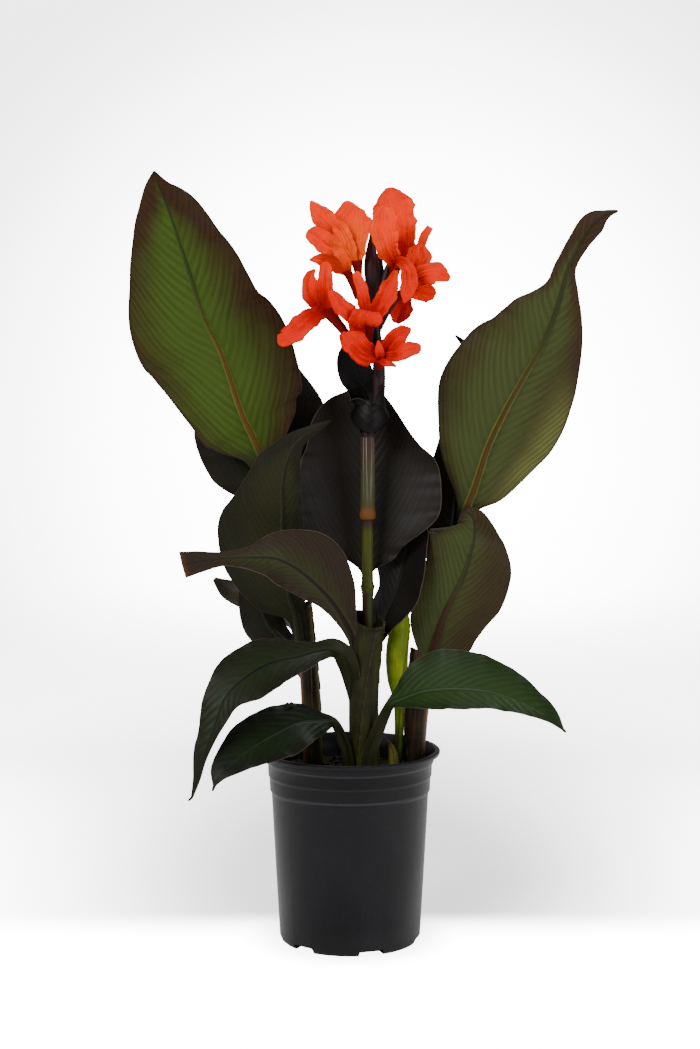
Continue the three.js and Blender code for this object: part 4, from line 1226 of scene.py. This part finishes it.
def sheath_finish():
    """The papery sheath on the stalk: grey-brown under a white bloom, with an orange foot."""
    finish = Finish("papery_sheath")
    place = finish.place()
    x, y, z = finish.parts(place)
    lines = finish.noise(finish.vector(x * 900, y * 900, z * 9), 1.0, 3)
    cloud = finish.noise(finish.vector(x * 300, y * 300, z * 30), 1.0, 3)
    high = z.rise(0.4, 0.47)
    shade = finish.blend(high, "2c3412", "2a1614")
    bloom = lines.rise(0.5, 0.66) * cloud.rise(0.35, 0.6) * (1 - abs(z - 0.432).rise(0.012, 0.04))
    coats = (
        (lines.rise(0.45, 0.6) * 0.7, "2e2418"),
        (bloom * 0.8 + high * lines.rise(0.55, 0.7) * 0.4, "6c645c"),
        ((1 - z.rise(0.398, 0.408)) * 0.5, "3e2a10"),
        (1 - z.rise(0.394, 0.401), "53300b"),
        (1 - z.rise(0.3865, 0.389), "1a0c07"),
    )
    return finish.skin(finish.coats(shade, *coats), 0.5 + 0.2 * cloud, 0.2, (lines, 0.4, 0.0004))


def spray_finish():
    """Dark purple stalks and buds."""
    finish = Finish("purple_spray")
    place = finish.place()
    bud = finish.mark("petal")
    cloud = finish.noise(place, 60, 3)
    x, y, z = finish.parts(place)
    lines = finish.noise(finish.vector(x * 700, y * 700, z * 30), 1.0, 2)
    shade = finish.blend(cloud.rise(0.3, 0.7), "12060a", "240d10")
    opening = bud.rise(0.4, 0.5) * z.rise(0.6, 0.64)
    coats = ((lines.rise(0.5, 0.7) * 0.4, "3a140f"), (opening * 0.5, "4a0f0a"))
    return finish.skin(finish.coats(shade, *coats), 0.45 + 0.15 * cloud, 0.2, (lines, 0.3, 0.0003))


PETAL = {"face": (0, -1, 0.1), "fold": 0.15, "curl": 0.4, "wave": (0.8, 2), "rib": (0, 0), "veins": 3.0}


def petal_relief(settings, seed):
    """The ruffled edge of a petal and its shallow lengthwise folds."""

    def relief(t, along, q, width, vein, rib):
        share = np.abs(q)
        broad = smooth_step(width, 3, 8)
        ruffle = waves(along + 2 * np.sign(q), 15, 1.7 * seed + np.sign(q)) * share ** 2.5
        crimp = 0.25 * waves(along + 1.5 * q, 6, seed) * share ** 4
        folds = 0.5 * np.sin(4 * q + 0.12 * along + seed) + 0.25 * np.sin(11 * q + seed)
        dip = 0.8 * np.exp(-(q * 4) ** 2)
        return settings.ruffle / MM * (ruffle + crimp) * broad + (folds * (1 - share ** 2) - dip) * broad

    return relief


class CANNA_OT_blooms(bpy.types.Operator):
    """Model the blooms, each with its ruffled petals on a tube"""

    bl_idname = "canna.blooms"
    bl_label = "Blooms"

    def execute(self, context):
        settings = context.scene.canna_flower
        material = petal_finish(settings)
        seed = 0
        for node, (tube_rows, *petals) in BLOOMS.items():
            parts = [tube("tube", tube_rows, 28)]
            for rows in petals:
                seed += 1
                look = {**PETAL, "rows": rows, "petal": 0.5 + 0.5 * math.sin(seed * 2.4) ** 2}
                look["ragged"] = (settings.ragged, seed)
                parts.append(blade(
                    "petal", look, settings.thickness / MM, PETAL_ROW, PETAL_COLUMN,
                    petal_relief(settings, seed),
                ))
            piece = joined("petals_of_" + node, parts)
            finish_piece(piece, material, [node])
        return {"FINISHED"}


THROAT_PLACE = (0.005, -0.016, 0.632)


def petal_finish(settings):
    """Vermilion petals with painted shade that makes them deeper toward the tube, in blotches and on the
    lower blooms, painted highlights in paler streaks and edges on the upper blooms, and a golden throat.
    """
    finish = Finish("vermilion_petal")
    place = finish.place()
    across = finish.mark("across")
    along = finish.mark("along")
    kind = finish.mark("petal")
    share = abs(across)
    streak = finish.noise(finish.vector(across * 7, along * 1.5, kind * 40), 1.4, 3)
    cloud = finish.noise(place, 70, 3)
    # Painted light by height: the upper blooms take the main colour, the lower ones a darker red as
    # painted shade.
    high = finish.parts(place)[2].rise(0.57, 0.65)
    # Painted shade toward the tube and in random blotches, with a darker tone on some petals as their own
    # colour.
    painted_shade_and_tone = (1 - along.rise(0.02, 0.55)) * 0.85 + cloud.rise(0.42, 0.62) * 0.25 + (1 - kind) * 0.7
    # Painted highlights: paler streaks and edges, laid on the upper blooms only.
    light = streak.rise(0.45, 0.7) * 0.6 + share.rise(0.5, 1.0) * 0.25
    shade = finish.mix(high, linear("d01800"), tuple(settings.petal))
    shade = finish.coats(
        shade, (light * high, "ec4404"), ((painted_shade_and_tone * (1.15 - light)).rise(0.1, 1.0), "9c0500"),
        (share.rise(0.93, 1.0) * 0.5, "981002"),
    )
    throat = 1 - finish.distance(place, THROAT_PLACE).rise(0.01, 0.034)
    rays = (across * 30).sine() * 0.25 + 0.75
    shade = finish.mix(throat * rays, shade, tuple(settings.throat))
    veins = (across * 42).sine()
    return finish.skin(
        finish.coats(shade, (1 - kind.rise(0.0, 0.3), "6a1008")), 0.55 + 0.1 * cloud, 0.03,
        (veins * 0.3 + streak, 0.35, 0.0004),
    )


def soft_light(name, place, size, power):
    deselect()
    bpy.ops.object.light_add(type="AREA", location=place)
    light = named(name)
    light.data.shape = "RECTANGLE"
    light.data.size, light.data.size_y = size
    light.data.energy = power
    light.rotation_euler = (LIT_PLACE - light.location).to_track_quat("-Z", "Y").to_euler()


class CANNA_OT_stage(bpy.types.Operator):
    """Set up the pale floor, the soft studio light and the camera"""

    bl_idname = "canna.stage"
    bl_label = "Stage"

    def execute(self, context):
        settings = context.scene.canna_stage
        deselect()
        bpy.ops.mesh.primitive_circle_add(
            vertices=128, radius=settings.floor_radius, fill_type="NGON", location=(0, 0, 0),
        )
        floor = named("pale_floor")
        floor.data.materials.append(floor_finish(settings))
        white_surround(context.scene, settings)
        key = settings.key_power
        soft_light("key_light", (-1.5, -1.9, 1.9), (1.4, 1.4), key)
        soft_light("fill_light", (1.9, -1.6, 1.0), (1.4, 1.6), 0.45 * key)
        soft_light("top_light", (0.2, 0.8, 2.2), (1.8, 1.2), 0.7 * key)
        set_camera(context.scene)
        return {"FINISHED"}


def floor_finish(settings):
    """A pale floor that glows for the camera and takes soft shadows, with a painted shadow round the
    pot's foot, a painted soft shadow behind the pot and painted shade toward the back, and that fades
    into the white surround.
    """
    finish = Finish("pale_floor")
    place = finish.place()
    distance = finish.distance(place, (0, 0, 0))
    side, depth, _ = finish.parts(place)
    # Painted shadow round the pot's foot.
    painted_foot_shadow = 1 - distance.rise(0.06, 0.11)
    # Painted soft shadow, stretched toward the back behind the pot.
    to_shadow = finish.distance(finish.vector(side, depth * 0.5, 0.0), (0.02, 0.12, 0))
    shadow = depth.rise(-0.03, 0.09) * (1 - to_shadow.rise(0.1, 0.65))
    # The glow is dimmed by the painted shadows and by painted shade that deepens toward the back.
    brightness = (1 - 0.6 * painted_foot_shadow) * (1 - 0.97 * shadow) * (1 - 0.72 * depth.rise(0.0, 0.9))
    glow = {"Color": WHITE, "Strength": brightness * settings.backdrop}
    glow = finish.node("ShaderNodeEmission", {}, glow)
    clear = finish.node("ShaderNodeBsdfTransparent")
    finish.feed(finish.shader.inputs["Base Color"], PALE)
    finish.feed(finish.shader.inputs["Roughness"], 0.9)
    base = Value(finish, finish.shader.outputs["BSDF"])
    added = finish.node("ShaderNodeAddShader", {}, {0: base, 1: glow})
    seen = finish.node("ShaderNodeMixShader", {}, {0: finish.seen(), 1: base, 2: added})
    fade = distance.rise(0.45 * settings.floor_radius, settings.floor_radius)
    faded = finish.node("ShaderNodeMixShader", {}, {0: fade, 1: seen, 2: clear})
    finish.feed(finish.tree.nodes["Material Output"].inputs["Surface"], faded)
    return finish.material


def white_surround(scene, settings):
    """A white backdrop for the camera, and an even, dimmer light from all round."""
    world = bpy.data.worlds.new("white_surround")
    world.use_nodes = True
    nodes = Nodes(world.node_tree)
    nodes.tree.nodes.clear()
    away = nodes.distance(nodes.node("ShaderNodeTexCoord").output("Generated"), BRIGHTEST_WAY)
    fall = {
        "Value": away, "From Min": 0.03, "From Max": 0.24, "To Min": settings.backdrop,
        "To Max": 0.24 * settings.backdrop,
    }
    fall = nodes.node("ShaderNodeMapRange", {"interpolation_type": "SMOOTHSTEP"}, fall)
    light, backdrop = (
        nodes.node("ShaderNodeBackground", {}, {"Color": WHITE, "Strength": strength})
        for strength in (settings.surround, fall)
    )
    seen = nodes.node("ShaderNodeMixShader", {}, {0: nodes.seen(), 1: light, 2: backdrop})
    nodes.node("ShaderNodeOutputWorld", {}, {"Surface": seen})
    scene.world = world


def set_camera(scene):
    """The camera at the photograph's place, level and angle of view."""
    deselect()
    rotation = (math.pi / 2 - CAMERA_DIP, 0, 0)
    bpy.ops.object.camera_add(location=CAMERA_PLACE, rotation=rotation)
    camera = named("photo_camera")
    camera.data.sensor_width = SENSOR
    camera.data.lens = FOCAL_PIXELS * SENSOR / PHOTO_HEIGHT
    camera.data.clip_start = 0.01
    scene.camera = camera


class CANNA_PT_sidebar(bpy.types.Panel):
    """The canna's sizes, colours and pieces"""

    bl_idname = "CANNA_PT_sidebar"
    bl_label = "Potted Canna"
    bl_space_type = "VIEW_3D"
    bl_region_type = "UI"
    bl_category = "Canna"

    def draw(self, context):
        for operator in OPERATORS:
            self.layout.operator(operator.bl_idname)
        for name in SETTINGS:
            group = getattr(context.scene, name)
            box = self.layout.box()
            for field in group.bl_rna.properties:
                if field.identifier not in ("rna_type", "name"):
                    box.prop(group, field.identifier)


SETTINGS = {
    "canna_pot": PotSettings,
    "canna_soil": SoilSettings,
    "canna_leaf": LeafSettings,
    "canna_stem": StemSettings,
    "canna_flower": FlowerSettings,
    "canna_stage": StageSettings,
}
OPERATORS = (
    CANNA_OT_stage, CANNA_OT_pot, CANNA_OT_soil, CANNA_OT_stems, CANNA_OT_stalk, CANNA_OT_leaves,
    CANNA_OT_blooms,
)


def register():
    for settings in SETTINGS.values():
        bpy.utils.register_class(settings)
    for name, settings in SETTINGS.items():
        setattr(bpy.types.Scene, name, PointerProperty(type=settings))
    for operator in OPERATORS:
        bpy.utils.register_class(operator)
    bpy.utils.register_class(CANNA_PT_sidebar)


def unregister():
    bpy.utils.unregister_class(CANNA_PT_sidebar)
    for operator in reversed(OPERATORS):
        bpy.utils.unregister_class(operator)
    for name, settings in reversed(SETTINGS.items()):
        delattr(bpy.types.Scene, name)
        bpy.utils.unregister_class(settings)


def main():
    register()
    bpy.ops.canna.stage()
    bpy.ops.canna.pot()
    bpy.ops.canna.soil()
    bpy.ops.canna.stems()
    bpy.ops.canna.stalk()
    bpy.ops.canna.leaves()
    bpy.ops.canna.blooms()


if __name__ == "__main__":
    main()
